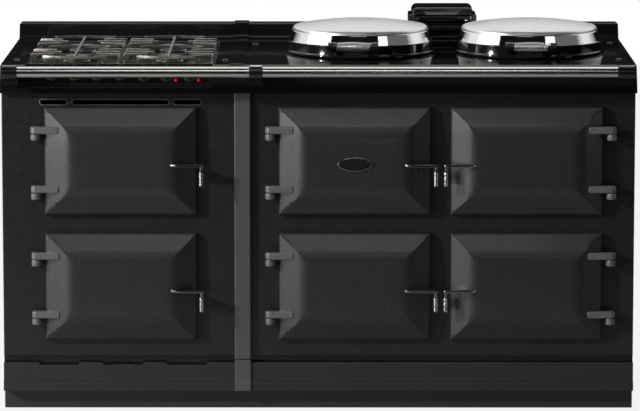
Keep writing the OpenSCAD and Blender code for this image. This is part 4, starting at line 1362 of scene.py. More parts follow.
@dataclass
class TopPlates:
    """The two top plates, each with its fascia, cove, upstand and flared outer side."""

    foot: float = 0.802  # the fascia's lower edge
    foot_out: float = 0.015  # how far that edge stands ahead of the front plates
    top_out: float = 0.010  # how far the fascia's top does
    flare: float = 0.0035  # how far the outer side flares at its foot
    ledge: float = 0.648  # depth of the upstand's face
    rise: float = 0.041  # height of the upstand
    cove: float = 0.009  # the cove at its foot
    wall: float = 0.006  # thickness of the sides
    thick: float = 0.008  # thickness of the plate
    # the unit's well as left, right, front depth and back depth
    well: tuple[float, float, float, float] = (-0.734, -0.259, 0.034, 0.619)
    sink: float = 0.012  # depth of the well
    recess: Flat = (-0.733, -0.264)  # the knob recess's two ends
    recess_foot: float = 0.816  # the recess's lower edge
    holes: float = 0.178  # radius of the holes for the hotplates

    def fascia(self) -> list[Flat]:
        """The fascia's face and its rounded upper edge, as (y, z) pairs."""
        edge = arc(at(-self.top_out) + 0.008, HOB - 0.008, 0.008, 180, 90, 8)
        return [(at(-self.foot_out), self.foot), *edge]

    def outside(self) -> list[Flat]:
        """The plate cut across, as (y, z) pairs.

        Returns:
            The corners, in order.
        """
        us, top = at(self.ledge), HOB + self.rise
        return [*self.fascia(), *arc(us - self.cove, HOB + self.cove, self.cove, 270, 360, 6),
                *arc(us + 0.004, top - 0.004, 0.004, 180, 90, 6), (BACK, top), (BACK, self.foot)]

    def inside(self) -> list[Flat]:
        """The hollow under the plate, as (y, z) pairs.

        Returns:
            The corners, in order.
        """
        under, foot, wall = HOB - self.thick, self.foot - 0.001, self.wall
        return [(at(-self.foot_out) + wall, foot), (at(-self.top_out) + wall, under - 0.006),
                (at(-self.top_out) + wall + 0.006, under), (BACK + 0.001, under), (BACK + 0.001, foot)]

    def shell(self, name: str, low: float, high: float, side: int) -> Piece:
        """A hollow plate from low to high along X.

        Args:
            name: the piece's name.
            low: its left end.
            high: its right end.
            side: -1 where the left side has a skirt, 1 where the right has.

        Returns:
            The piece.
        """
        top, foot = HOB + self.rise, self.foot - 0.002
        left = [(low - self.flare, foot)] + arc(low + 0.005, top - 0.005, 0.005, 180, 90, 6)
        right = arc(high - 0.005, top - 0.005, 0.005, 90, 0, 6) + [(high + self.flare, foot)]
        front = ((left if side < 0 else [(low, foot), (low, top + 0.001)])
                 + (right if side > 0 else [(high, top + 0.001), (high, foot)]))
        piece = Bench.prism(name, self.outside(), Plane.YZ, low - 0.01, high + 0.01)
        Bench.meet(piece, Bench.prism("ends", front, Plane.XZ, at(-0.04), BACK + 0.02))
        Bench.round_edges(piece, 0.0022, 3, 50)
        hollow = Bench.prism("hollow", self.inside(), Plane.YZ, low - 0.01, high + 0.01)
        in_low = low + (self.wall if side < 0 else -0.001)
        in_high = high - (self.wall if side > 0 else -0.001)
        ends = [(in_low - (self.flare if side < 0 else 0), foot), (in_low, HOB), (in_high, HOB),
                (in_high + (self.flare if side > 0 else 0), foot)]
        Bench.meet(hollow, Bench.prism("ends", ends, Plane.XZ, at(-0.04), BACK + 0.02))
        return Bench.cut(piece, hollow)

    def unit(self) -> None:
        """The unit's plate, with its well and the recess for the knobs."""
        left, right, front, back = self.well
        low, high = self.recess
        piece = self.shell("unit_top_casting", -HALF, TOP_JOINT - GAP, -1)
        tray = Bench.block("tray", (left - self.wall, at(front) - 0.002, HOB - self.sink - self.wall),
                           (right + self.wall, at(back) + self.wall, HOB - 0.001))
        foot = self.recess_foot - self.wall
        cheeks = [(at(-self.foot_out) + 0.002, foot), (at(-self.top_out) + 0.003, HOB - 0.008),
                  (at(0), HOB - 0.002), (at(0.032), HOB - 0.002), (at(0.032), HOB - self.thick),
                  (at(-0.003), foot)]
        cheek = Bench.prism("cheeks", cheeks, Plane.YZ, low - self.wall, high + self.wall)
        Bench.merge(piece, tray, cheek)
        well = Bench.block("well", (left, at(front), HOB - self.sink), (right, at(back), HOB + 0.02))
        Bench.round_edges(well, 0.010, 4, 80)
        room = [(at(-0.06), self.recess_foot), (at(-0.003), self.recess_foot), (at(0.032), HOB),
                (at(0.0326), HOB + 0.001), (at(-0.06), HOB + 0.001)]
        recess = Bench.prism("recess", room, Plane.YZ, low, high)
        Bench.cut(piece, well, recess)
        for x, depth in BURNERS:
            Bench.cut(piece, Bench.rod("hole", (x, at(depth), 0.80), (x, at(depth), HOB + 0.02), 0.024, 32))
        hand_over(Bench.finished(piece, Finish.BLACK, 30), "range", ["unit_top_plate"])

    def cooker(self) -> None:
        """The cooker's plate, with its two round holes."""
        piece = self.shell("cooker_top_casting", TOP_JOINT + GAP, HALF, 1)
        for x in PLATE_X:
            low, high = (x, at(PLATE_DEPTH), 0.80), (x, at(PLATE_DEPTH), HOB + 0.02)
            Bench.cut(piece, Bench.rod("hole", low, high, self.holes, 96))
        hand_over(Bench.finished(piece, Finish.BLACK, 30), "range", ["cooker_top_plate"])

    def caps(self) -> None:
        """The five small screw caps on the plates."""
        profile = [(0, 0), (0.008, 0), (0.008, 0.0008), (0.0076, 0.0012), (0.0066, 0.0013), (0.0062, 0.0019),
                   (0.0054, 0.0022), (0, 0.0022)]
        places = ((-0.762, 0.120), (-0.236, 0.108), (-0.166, 0.508), (0.764, 0.541), (0.760, 0.135))
        caps = [Bench.turned(f"cap_{i}", profile, (x, at(d), HOB)) for i, (x, d) in enumerate(places)]
        piece = Bench.finished(Bench.join("plate_caps_turned", caps), Finish.BLACK, 35)
        hand_over(piece, "range", ["plate_caps"])

    def build(self) -> None:
        """Makes both plates and the caps."""
        self.unit()
        self.cooker()
        self.caps()


@dataclass
class Rail:
    """The handrail in front, in two lengths, and its three brackets."""

    plates: TopPlates  # the top plates, for the fascia's slope
    radius: float = 0.014  # of the rail
    reach: float = 0.072  # the rail's axis, ahead of the front plates
    height: float = 0.861  # of the axis
    ring: float = 0.018  # radius of a bracket round the rail
    spans: tuple[Flat, ...] = ((-0.785, -0.749), (-0.171, -0.139), (0.744, 0.785))  # each bracket's two ends

    def lengths(self) -> None:
        """The two lengths of rail."""
        y, z = at(-self.reach), self.height
        bars = []
        for i, (before, after) in enumerate(zip(self.spans, self.spans[1:])):
            low, high = before[1], after[0]
            r, long = self.radius, high - low
            profile = [(0, 0), (r - 0.001, 0), (r, 0.001), (r, long - 0.001), (r - 0.001, long), (0, long)]
            bars.append(Bench.turned(f"rail_{i}", profile, (low, y, z), (1, 0, 0), 96))
        piece = Bench.finished(Bench.join("handrail_bars", bars), Finish.RAIL, 35)
        hand_over(piece, "range", ["handrails"])

    def bracket(self, low: float, high: float) -> Piece:
        """A bracket from low to high along X: a ring that runs back into the fascia.

        Args:
            low: its left end.
            high: its right end.

        Returns:
            The bracket.
        """
        y, z, r = at(-self.reach), self.height, self.ring
        outline = [*arc(y, z, r, 78, 238, 14), (at(-0.040), 0.838), (at(-0.022), 0.826), (at(0), 0.812),
                   (at(0), HOB - 0.002), (at(-0.026), 0.8725), (at(-0.050), 0.8775)]
        piece = Bench.prism("bracket", outline, Plane.YZ, low, high)
        fascia = [*self.plates.fascia(), (at(0.04), HOB), (at(0.04), self.plates.foot)]
        Bench.cut(piece, Bench.prism("fascia", fascia, Plane.YZ, low - 0.001, high + 0.001))
        return Bench.round_edges(piece, 0.0028, 4, 40)

    def build(self) -> None:
        """Makes the rails and the brackets, with a bright cap over the middle one."""
        self.lengths()
        parts = [self.bracket(low, high) for low, high in self.spans]
        piece = Bench.finished(Bench.join("handrail_bracket_castings", parts), Finish.BLACK, 35)
        hand_over(piece, "range", ["handrail_brackets"])
        low, high = self.spans[1]
        y, z, r = at(-self.reach), self.height, self.ring
        band = arc(y, z, r, 36, 118, 10) + arc(y, z, r - 0.0012, 118, 36, 10)
        cap = Bench.prism("bracket_cap", band, Plane.YZ, low + 0.0005, high - 0.0005, 0.0005, 2)
        hand_over(Bench.finished(cap, Finish.CHROME, 35), "range")


@dataclass
class Cowl:
    """The vent cowl that stands on the cooker's top plate behind the lids."""

    x: float = 0.324  # its centre
    half: float = 0.080  # half its width
    front: float = 0.495  # depth of its face
    back: float = 0.638  # depth of its back
    top: float = 0.968  # its height over the floor
    ear: float = 0.009  # how far the side ears stand out
    ear_top: float = 0.948  # their top
    round: float = 0.014  # radius of its upper corners
    slots: tuple[float, float, float] = (0.883, 0.909, 0.935)  # lower edges of the louvre slots

    def build(self) -> None:
        """Makes the hood, the frame round its face and the louvre blades."""
        x, w, r = self.x, self.half, self.round
        hood_outline = ([(x - w, HOB)] + arc(x - w + r, self.top - r, r, 180, 90, 8)
                        + arc(x + w - r, self.top - r, r, 90, 0, 8) + [(x + w, HOB)])
        hood = Bench.prism("cowl_hood", hood_outline, Plane.XZ, at(self.front), at(self.back))
        Bench.round_edges(hood, 0.006, 4, 50)
        ears = Bench.block("ears", (x - w - self.ear, at(self.front + 0.018), HOB),
                           (x + w + self.ear, at(self.back - 0.004), self.ear_top))
        Bench.round_edges(ears, 0.004, 3)
        hood = Bench.merge(hood, ears)
        room = Bench.block("room", (x - w + 0.008, at(self.front) - 0.01, HOB - 0.001),
                           (x + w - 0.008, at(self.back - 0.004), self.ear_top + 0.002))
        Bench.cut(hood, Bench.round_edges(room, 0.003, 3))
        parts = [hood]
        section = ((0.004, 0.0), (0.0032, 0.0085), (0.0045, 0.011), (0.024, 0.0225), (0.0255, 0.0215),
                   (0.0075, 0.0085), (0.0075, 0.0))
        for z in (HOB, *self.slots):
            blade = [(at(self.front + d), z + up) for d, up in section]
            parts.append(Bench.prism("blade", blade, Plane.YZ, x - w + 0.007, x + w - 0.007, 0.0007, 2))
        parts.append(Bench.block("cowl_core", (x - w + 0.009, at(self.front + 0.030), HOB),
                                 (x + w - 0.009, at(self.front + 0.033), self.ear_top)))
        piece = Bench.finished(Bench.join("vent_cowl_hood", parts), Finish.BLACK, 35)
        hand_over(piece, "range", ["vent_cowl"])


# ---- lids --------------------------------------------------------------------


@dataclass
class Lid:
    """A sprung lid over a hotplate: black skirt, polished dome and coil handle."""

    name: str  # left_lid or right_lid
    x: float  # its centre
    turn: float  # how far the handle is turned about the middle of the lid, in degrees
    y: float = FRONT + PLATE_DEPTH  # its centre
    foot: float = 0.873  # height of its foot
    radius: float = 0.1925  # at the foot
    skirt_top: float = 0.904  # where the skirt meets the polished band
    band_top: float = 0.937  # where the band meets the dome
    top: float = 0.957  # of the dome
    neck: float = 0.185  # radius at the skirt's top
    dome: float = 0.1675  # radius where the dome begins
    hinge_y: float = FRONT + 0.525  # depth of the hinge axis
    hinge_z: float = 0.890  # its height
    coil: float = 0.098  # length of the coil
    curls: int = 14  # turns of its wire
    wire: float = 0.003  # thickness of the wire
    bar_out: float = 0.036  # the handle's axis, ahead of the neck
    bar_z: float = 0.907  # its height

    @property
    def bar_y(self) -> float:
        """The handle's axis."""
        return self.y - self.neck - self.bar_out

    def turned(self, piece: Piece) -> Piece:
        """Turns a piece of the handle about the middle of the lid.

        Args:
            piece: the piece.

        Returns:
            The piece.
        """
        middle = Matrix.Translation(Vector((self.x, self.y, 0)))
        piece.matrix_world = middle @ Matrix.Rotation(math.radians(self.turn), 4, "Z") @ middle.inverted()
        return Bench.settle(piece)

    def cover(self) -> None:
        """The cover: a steep mirror-bright band, and a satin dome with a rounded shoulder."""
        shoulder, rise = self.band_top, self.top - self.band_top - 0.0055
        seam = (self.dome + 0.0082, shoulder - 0.0075)
        foot = (self.neck - 0.0004, self.skirt_top + 0.0016)
        flat = [(foot[0] + (seam[0] - foot[0]) * t, foot[1] + (seam[1] - foot[1]) * t)
                for t in (0, 0.04, 0.5, 0.96)]
        band = [(self.neck - 0.004, self.skirt_top), (self.neck - 0.0006, self.skirt_top),
                (self.neck, self.skirt_top + 0.0008), *flat, seam,
                (seam[0] - 0.0012, seam[1] + 0.0012), (seam[0] - 0.005, seam[1])]
        made = Bench.turned(f"{self.name}_band", band, (self.x, self.y, 0), steps=180, ring=True)
        hand_over(Bench.finished(made, Finish.LID_BAND, 40), self.name)
        profile = [(seam[0] - 0.0022, seam[1] + 0.0004), (seam[0] - 0.0008, seam[1] + 0.0006)]
        profile += arc(self.dome - 0.0045, shoulder - 0.0065, 0.0115, 8, 76, 9)
        crown = [1 - i / 14 for i in range(1, 15)]
        profile += [((self.dome - 0.004) * t, shoulder + 0.0052 + rise * (1 - t ** 2)) for t in crown]
        profile += [(0, self.top - 0.004), (self.dome * 0.5, self.top - 0.009), (self.dome - 0.006, shoulder)]
        profile = [(max(r, 0.0), z) for r, z in profile]
        piece = Bench.turned(f"{self.name}_cover", profile, (self.x, self.y, 0), steps=144, ring=True)
        Bench.finished(piece, Finish.LID_CHROME, 40)
        hand_over(piece, self.name, [f"{self.name}_dome"])

    def skirt_ring(self) -> Piece:
        """The black skirt with its rolled foot and the plate inside it.

        Returns:
            The skirt.
        """
        f, r, n = self.foot, self.radius, self.neck
        profile = [(0, f + 0.010), (n - 0.002, f + 0.010), (r - 0.006, f + 0.0005), (r - 0.0045, f),
                   (r - 0.0015, f), (r, f + 0.0015), (r, f + 0.005), (r - 0.001, f + 0.0075),
                   (r - 0.003, f + 0.010),
                   (n + 0.0014, self.skirt_top - 0.004), (n + 0.0006, self.skirt_top - 0.0006),
                   (n - 0.0004, self.skirt_top), (n - 0.006, self.skirt_top), (n - 0.003, f + 0.014),
                   (0, f + 0.014)]
        return Bench.turned("skirt", profile, (self.x, self.y, 0), steps=144)

    def lug(self, side: int) -> Piece:
        """One of the ribbed black lugs that hold the coil.

        Args:
            side: -1 for the left one, 1 for the right.

        Returns:
            The lug.
        """
        near = self.x + side * self.coil / 2
        far = near + side * 0.014
        low, high = min(near, far), max(near, far)
        y, z, n = self.bar_y, self.bar_z, self.y - self.neck
        outline = [*arc(y, z, 0.0105, 60, 250, 12), (n + 0.010, self.foot + 0.012),
                   (n + 0.012, self.skirt_top - 0.003)]
        parts = [Bench.prism("lug", outline, Plane.YZ, low + 0.002, high - 0.002, 0.0015, 2)]
        for i in range(3):
            start = low + i * 0.0052
            disc = [(0, 0), (0.0108, 0), (0.012, 0.0006), (0.012, 0.0028), (0.0108, 0.0034), (0, 0.0034)]
            parts.append(Bench.turned("rib", disc, (start, y, z), (1, 0, 0), 40))
        return Bench.join("lug", parts)

    def hinge(self) -> Piece:
        """The leaf behind the lid, bored for the hinge rod.

        Returns:
            The leaf.
        """
        n, f = self.y + self.neck, self.foot
        outline = [(n - 0.006, f + 0.011), (n - 0.006, self.skirt_top - 0.002),
                   *arc(self.hinge_y, self.hinge_z, 0.010, 90, -90, 12), (n + 0.002, f + 0.003)]
        leaf = Bench.prism("leaf", outline, Plane.YZ, self.x - 0.020, self.x + 0.020, 0.0012, 2)
        return Bench.cut(leaf, self.across("bore", self.hinge_y, self.hinge_z, 0.03, 0.0053, 24))

    def across(self, name: str, y: float, z: float, half: float, radius: float, sides: int) -> Piece:
        """A round bar across the lid's middle.

        Args:
            name: the bar's name.
            y: its axis.
            z: its axis.
            half: half its length.
            radius: of the bar.
            sides: facets round it.

        Returns:
            The bar.
        """
        return Bench.rod(name, (self.x - half, y, z), (self.x + half, y, z), radius, sides)

    def black_parts(self) -> None:
        """The skirt with its lugs, the rod in the coil and the hinge leaf."""
        core = self.across("core", self.bar_y, self.bar_z, self.coil / 2 + 0.002, 0.005, 40)
        parts = [self.skirt_ring(), *map(self.turned, (self.lug(-1), self.lug(1), core)), self.hinge()]
        piece = Bench.finished(Bench.join(f"{self.name}_skirt_ring", parts), Finish.BLACK, 35)
        hand_over(piece, self.name, [f"{self.name}_skirt"])

    def spring(self) -> None:
        """The barrel-shaped coil, wound as a wire on a curve and turned into a mesh."""
        steps = 20 * self.curls
        run = self.coil - 4 * self.wire
        points = [(self.x - self.coil / 2 + 0.0005, self.bar_y, self.bar_z + 0.009)]
        for i in range(steps + 1):
            u = i / steps
            r, a = 0.009 + 0.0025 * math.sin(math.pi * u), 2 * math.pi * self.curls * u
            along = self.x - run / 2 + run * u
            points.append((along, self.bar_y + r * math.sin(a), self.bar_z + r * math.cos(a)))
        points.append((self.x + self.coil / 2 - 0.0005, self.bar_y, self.bar_z + 0.009))
        piece = self.turned(Bench.wire(f"{self.name}_spring", points, self.wire / 2))
        Bench.finished(piece, Finish.COIL_CHROME, 50)
        hand_over(piece, self.name, [f"{self.name}_coil"])

    def build(self) -> None:
        """Makes every part of the lid."""
        self.cover()
        self.black_parts()
        self.spring()


# ---- hob and controls --------------------------------------------------------


@dataclass
class Hob:
    """The four gas burners and the two cast pan supports over them."""

    floor: float = 0.860  # height of the well's floor
    radius: float = 0.034  # of a burner's head
    ports: int = 24  # flame ports in a head
    bar: float = 0.007  # thickness of the supports' bars
    rise: float = 0.888  # their top
    reach: float = 0.114  # half a support's width
    front: float = 0.050  # depth of its front bar
    back: float = 0.570  # depth of its back

    def burners(self) -> None:
        """The alloy heads with their ports, and the enamelled caps."""
        r, f = self.radius, self.floor
        profile = [(0, -0.026), (0.020, -0.026), (0.020, -0.001), (0.020, 0.0005), (r - 0.002, 0.0005),
                   (r, 0.002), (r, 0.004), (r - 0.003, 0.0055), (r - 0.003, 0.0095), (r - 0.001, 0.0105),
                   (r - 0.001, 0.012), (0, 0.012)]
        head = Bench.turned("burner_head", profile, (0, 0, f), steps=72)
        for i in range(self.ports):
            turn = 2 * math.pi * i / self.ports
            out = Vector((math.cos(turn), math.sin(turn), 0))
            up = Vector((0, 0, f + 0.0075))
            Bench.cut(head, Bench.rod("port", out * (r - 0.009) + up, out * (r + 0.002) + up, 0.0011, 10))
        profile = [(0, 0.012), (r - 0.006, 0.012), (r - 0.0045, 0.0125), (r - 0.0038, 0.0138),
                   (r - 0.0045, 0.0155), (r - 0.007, 0.017), (r - 0.011, 0.0178), (r - 0.018, 0.0186),
                   (0, 0.019)]
        cap = Bench.turned("burner_cap", profile, (0, 0, f), steps=72)
        heads = [Bench.copied(head, f"head_{i}", (x, at(d), 0)) for i, (x, d) in enumerate(BURNERS)]
        caps = [Bench.copied(cap, f"cap_{i}", (x, at(d), 0)) for i, (x, d) in enumerate(BURNERS)]
        Bench.discard(head, cap)
        hand_over(Bench.finished(Bench.join("burner_heads_turned", heads), Finish.BURNER, 35), "range",
                  ["burner_heads"])
        hand_over(Bench.finished(Bench.join("burner_caps_turned", caps), Finish.CAST_BLACK, 40), "range",
                  ["burner_caps"])

    def straight(self, start: Flat, end: Flat, drop: bool = False) -> Piece:
        """A bar between two (x, depth) points, with its far end bent down to the well's floor if told.

        Args:
            start: the near point.
            end: the far point.
            drop: whether the far end bends down.

        Returns:
            The bar.
        """
        a, b = Vector((start[0], at(start[1]), 0)), Vector((end[0], at(end[1]), 0))
        long, low = (b - a).length, self.rise - self.bar
        if drop:
            outline = ([(0, low), (long - self.bar - 0.003, low), (long - self.bar - 0.0008, low - 0.001),
                        (long - self.bar, low - 0.004), (long - self.bar, self.floor), (long, self.floor)]
                       + arc(long - 0.006, self.rise - 0.006, 0.006, 0, 90, 5) + [(0, self.rise)])
        else:
            outline = [(0, low), (long, low), (long, self.rise), (0, self.rise)]
        piece = Bench.prism("bar", outline, Plane.XZ, -self.bar / 2, self.bar / 2, 0.0016, 2)
        piece.rotation_euler = (0, 0, math.atan2(b.y - a.y, b.x - a.x))
        piece.location = a
        return Bench.settle(piece)

    def bowed(self, half: float, mid: float, ends: float) -> Piece:
        """A cross bar bowed in plan, from one end's depth through mid to the other end's.

        Args:
            half: half its width.
            mid: depth of its middle.
            ends: depth of its ends.

        Returns:
            The bar on its two legs.
        """
        steps, bar = 16, self.bar
        line = [(half * (2 * i / steps - 1), ends + (mid - ends) * (1 - (2 * i / steps - 1) ** 2))
                for i in range(steps + 1)]
        outline = [(x, at(d) - bar / 2) for x, d in line] + [(x, at(d) + bar / 2) for x, d in reversed(line)]
        piece = Bench.prism("bow", outline, Plane.XY, self.rise - bar, self.rise)
        for side in (-1, 1):
            leg = Bench.block("leg", (side * (half - bar / 2) - bar / 2, at(ends) - bar / 2, self.floor),
                              (side * (half - bar / 2) + bar / 2, at(ends) + bar / 2, self.rise - 0.0005))
            piece = Bench.merge(piece, leg)
        return Bench.round_edges(piece, 0.0015, 2, 50)

    def support(self) -> Piece:
        """One support over a front and a rear burner, round its own middle.

        Returns:
            The support.
        """
        bar, reach = self.bar, self.reach
        middle = sum(BURNER_DEPTHS) / 2
        outer = Bench.block("frame", (-reach, at(self.front), self.floor),
                            (reach, at(self.back), self.floor + bar))
        Bench.round_edges(outer, 0.0016, 2)
        inner = Bench.block("inner", (-reach + bar, at(self.front) + bar, self.floor - 0.01),
                            (reach - bar, at(self.back) - bar, self.floor + 0.02))
        Bench.cut(outer, Bench.round_edges(inner, 0.006, 3, 80))
        parts = [outer, self.straight((0, self.front + 0.004), (0, self.back)),
                 self.bowed(0.080, self.front + bar / 2, self.front + 0.024),
                 self.bowed(0.080, middle + bar / 2 + 0.010, middle - 0.006),
                 self.bowed(0.080, self.back - bar / 2, self.back - 0.020),
                 Bench.block("tie", (-reach + 0.001, at(middle), self.floor),
                             (reach - 0.001, at(middle) + bar, self.floor + bar))]
        for depth in BURNER_DEPTHS:
            for side in (-1, 1):
                parts.append(self.straight((side * 0.038, depth), (side * reach, depth), True))
                for skew in (-1, 1):
                    near = (side * (reach - bar) - side * 0.054, depth + skew * (0.062 - 0.0155))
                    parts.append(self.straight(near, (side * reach, depth + skew * 0.062), True))
        return Bench.join("support", parts)

    def build(self) -> None:
        """Makes the burners and both supports."""
        self.burners()
        support = self.support()
        both = [Bench.copied(support, f"support_{side}", (UNIT_X + side * SUPPORT_OUT, 0, 0))
                for side in (-1, 1)]
        Bench.discard(support)
        piece = Bench.finished(Bench.join("pan_support_castings", both), Finish.SUPPORT, 35)
        hand_over(piece, "supports", ["pan_supports"])


@dataclass
class Controls:
    """The sloping knob panel with its bosses and lamps, and the seven knobs."""

    left: float = -0.733  # the panel's left end
    right: float = -0.264  # its right end
    foot: float = 0.816  # height of its foot
    foot_d: float = -0.009  # depth of its face at the foot
    top_d: float = 0.026  # depth of its face at the top
    thick: float = 0.006  # its thickness, front to back
    knob_z: float = 0.845  # height of the knobs' middles on its face
    first: float = -0.666  # the first knob's X
    pitch: float = 0.0575  # between two knobs
    radius: float = 0.020  # of a knob
    long: float = 0.025  # length of a knob
    gas_gap: float = 0.006  # gap under a gas knob
    oven_gap: float = 0.001  # gap under an oven knob
    lamps: tuple[Flat, ...] = ((-0.357, 0.833), (-0.300, 0.833))  # each lamp's X and height

    @property
    def tilt(self) -> float:
        """How far the panel leans back, in radians."""
        return math.atan((self.top_d - self.foot_d) / (HOB - self.foot))

    @property
    def skin(self) -> float:
        """The panel's thickness square to its face."""
        return self.thick * math.cos(self.tilt)

    def out(self) -> Vector:
        """The direction that the panel's face looks in."""
        return Vector((0, -math.cos(self.tilt), math.sin(self.tilt)))

    def place(self, x: float, z: float, away: float = 0.0) -> Vector:
        """A point at x and height z on the face, moved away from it along its normal."""
        y = at(self.foot_d + (z - self.foot) * math.tan(self.tilt))
        return Vector((x, y, z)) + self.out() * away

    def stand(self, piece: Piece, spot: Vector) -> Piece:
        """Stands a piece that points along +Z on the face at a spot.

        Args:
            piece: the piece.
            spot: where it stands.

        Returns:
            The piece.
        """
        piece.rotation_euler = (math.pi / 2 - self.tilt, 0, 0)
        piece.location = spot
        return Bench.settle(piece)

    def panel(self) -> None:
        """The panel, bored for the spindles, with a small boss to the right of each knob."""
        outline = [(at(self.foot_d), self.foot), (at(self.top_d), HOB), (at(self.top_d + self.thick), HOB),
                   (at(self.foot_d + self.thick), self.foot)]
        piece = Bench.prism("panel_sheet", outline, Plane.YZ, self.left, self.right, 0.0008, 2)
        for i in range(7):
            x = self.first + self.pitch * i
            start, end = self.place(x, self.knob_z, -0.012), self.place(x, self.knob_z, 0.004)
            Bench.cut(piece, Bench.rod("bore", start, end, 0.006, 24))
        parts = [piece]
        for i in range(7):
            boss = Bench.turned("boss", [(0, 0), (0.005, 0), (0.005, 0.002), (0.0042, 0.003), (0, 0.0031)],
                                (0, 0, 0), steps=28)
            parts.append(self.stand(boss, self.place(self.first + self.pitch * i + 0.029, 0.866, -0.001)))
        profile = [(0.0053, 0), (0.014, 0), (0.014, 0.031), (0.0053, 0.031)]
        for i in range(4, 7):
            housing = Bench.turned("housing", profile, (0, 0, 0), steps=32, ring=True)
            spot = self.place(self.first + self.pitch * i, self.knob_z, -self.skin - 0.0315)
            parts.append(self.stand(housing, spot))
        joined = Bench.finished(Bench.join("knob_panel_sheet", parts), Finish.BLACK, 35)
        hand_over(joined, "range", ["knob_panel"])

    def lamp_lenses(self) -> None:
        """The two red lamps."""
        profile = [(0, -self.skin), (0.0029, -self.skin), (0.0029, 0), (0.0042, 0), (0.0042, 0.001),
                   (0.0040, 0.0022), (0.0034, 0.0035), (0.0022, 0.0046), (0.0009, 0.0051), (0, 0.0052)]
        parts = [self.stand(Bench.turned("lens", profile, (0, 0, 0), steps=32), self.place(x, z))
                 for x, z in self.lamps]
        piece = Bench.finished(Bench.join("lamp_lenses", parts), Finish.LAMP, 50)
        hand_over(piece, "range", ["indicator_lamps"])

    def knob(self, bore: bool) -> Piece:
        """A knob: skirt, waist and a rounded grip bar across its face, bored or on a stub.

        Args:
            bore: whether it is bored.

        Returns:
            The knob.
        """
        r, top = self.radius, self.long
        profile = [(0, 0), (r - 0.0006, 0), (r, 0.0006), (r, 0.0038), (r - 0.0004, 0.005), (r - 0.002, 0.007),
                   (r - 0.0036, 0.0086), (r - 0.0042, 0.0105), (r - 0.0044, top - 0.0105)]
        profile += arc(r - 0.0074, top - 0.0103, 0.003, 0, 90, 5) + [(0, top - 0.007)]
        body = Bench.turned("knob", profile, (0, 0, 0), steps=56)
        grip = Bench.block("grip", (-0.005, -r + 0.003, 0.006), (0.005, r - 0.003, top))
        Bench.pull(grip, lambda p: p.z > 0.02 and p.x > 0, (-0.0012, 0, 0))
        Bench.pull(grip, lambda p: p.z > 0.02 and p.x < 0, (0.0012, 0, 0))
        Bench.round_edges(grip, 0.0024, 4)
        Bench.merge(body, grip)
        if bore:
            return Bench.cut(body, Bench.rod("bore", (0, 0, -0.001), (0, 0, 0.021), 0.0043, 24))
        return Bench.merge(body, Bench.rod("stub", (0, 0, -0.030), (0, 0, 0.002), 0.004, 24))

    def build(self) -> None:
        """Makes the panel, the lamps and a copy of each kind of knob at every place."""
        self.panel()
        self.lamp_lenses()
        gas, oven = self.knob(True), self.knob(False)
        for i in range(7):
            x = self.first + self.pitch * i
            is_gas = i < 4
            label = f"gas_knob_{i + 1}" if is_gas else f"oven_knob_{i - 3}"
            body = f"knob_{i + 1}" if is_gas else f"oven_control_{i - 3}"
            made = Bench.copied(gas if is_gas else oven, f"{label}_moulding")
            self.stand(made, self.place(x, self.knob_z, self.gas_gap if is_gas else self.oven_gap))
            hand_over(Bench.finished(made, Finish.KNOB, 40), body, [label])
        Bench.discard(gas, oven)


# ---- nodes whose own shape shows ---------------------------------------------


@dataclass(frozen=True)
class KeptNodes:
    """The frame's own nodes that stay as they are and only get a finish."""

    # each node with its finish
    finishes: tuple[tuple[str, Finish], ...] = (
        ("outer_panels", Finish.PEWTER), ("ovens", Finish.OVEN_IRON), ("oven_shelves", Finish.SHELF),
        ("heating_elements", Finish.ELEMENT), ("insulation", Finish.WOOL), ("gas_manifold", Finish.BRASS),
        *((f"tap_spindle_{i}", Finish.BRASS) for i in range(1, 5)), ("control_box", Finish.BOX_STEEL),
        ("fan_motor", Finish.BOX_STEEL), ("oven_fan", Finish.BOX_STEEL), ("thermostat_dial", Finish.DIAL),
        ("hotplates", Finish.HOTPLATE), ("lid_hinge_brackets", Finish.BLACK))

    def dress(self) -> None:
        """Gives each node's material slots its finish."""
        for name, finish in self.finishes:
            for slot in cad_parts[name].material_slots:
                slot.material = finish.material()
            LOG.info("%s keeps its own shape", name)


# ---- studio ------------------------------------------------------------------


@dataclass(frozen=True)
class Softbox:
    """An area light that looks at the range."""

    name: str  # the light's name
    place: Point  # where it stands
    aim: Point  # what it looks at
    size: Flat  # its width and height
    power: float  # in watts
    colour: Colour = (1.0, 1.0, 1.0)  # its colour

    def build(self) -> None:
        """Adds the light."""
        Bench.clear()
        turn = (Vector(self.aim) - Vector(self.place)).to_track_quat("-Z", "Y").to_euler()
        bpy.ops.object.light_add(type="AREA", location=self.place, rotation=turn)
        lamp = bpy.context.view_layer.objects.active
        lamp.name = self.name
        lamp.data.shape = "RECTANGLE"
        lamp.data.size, lamp.data.size_y = self.size
        lamp.data.energy = self.power
        lamp.data.color = self.colour
        lamp.visible_camera = False


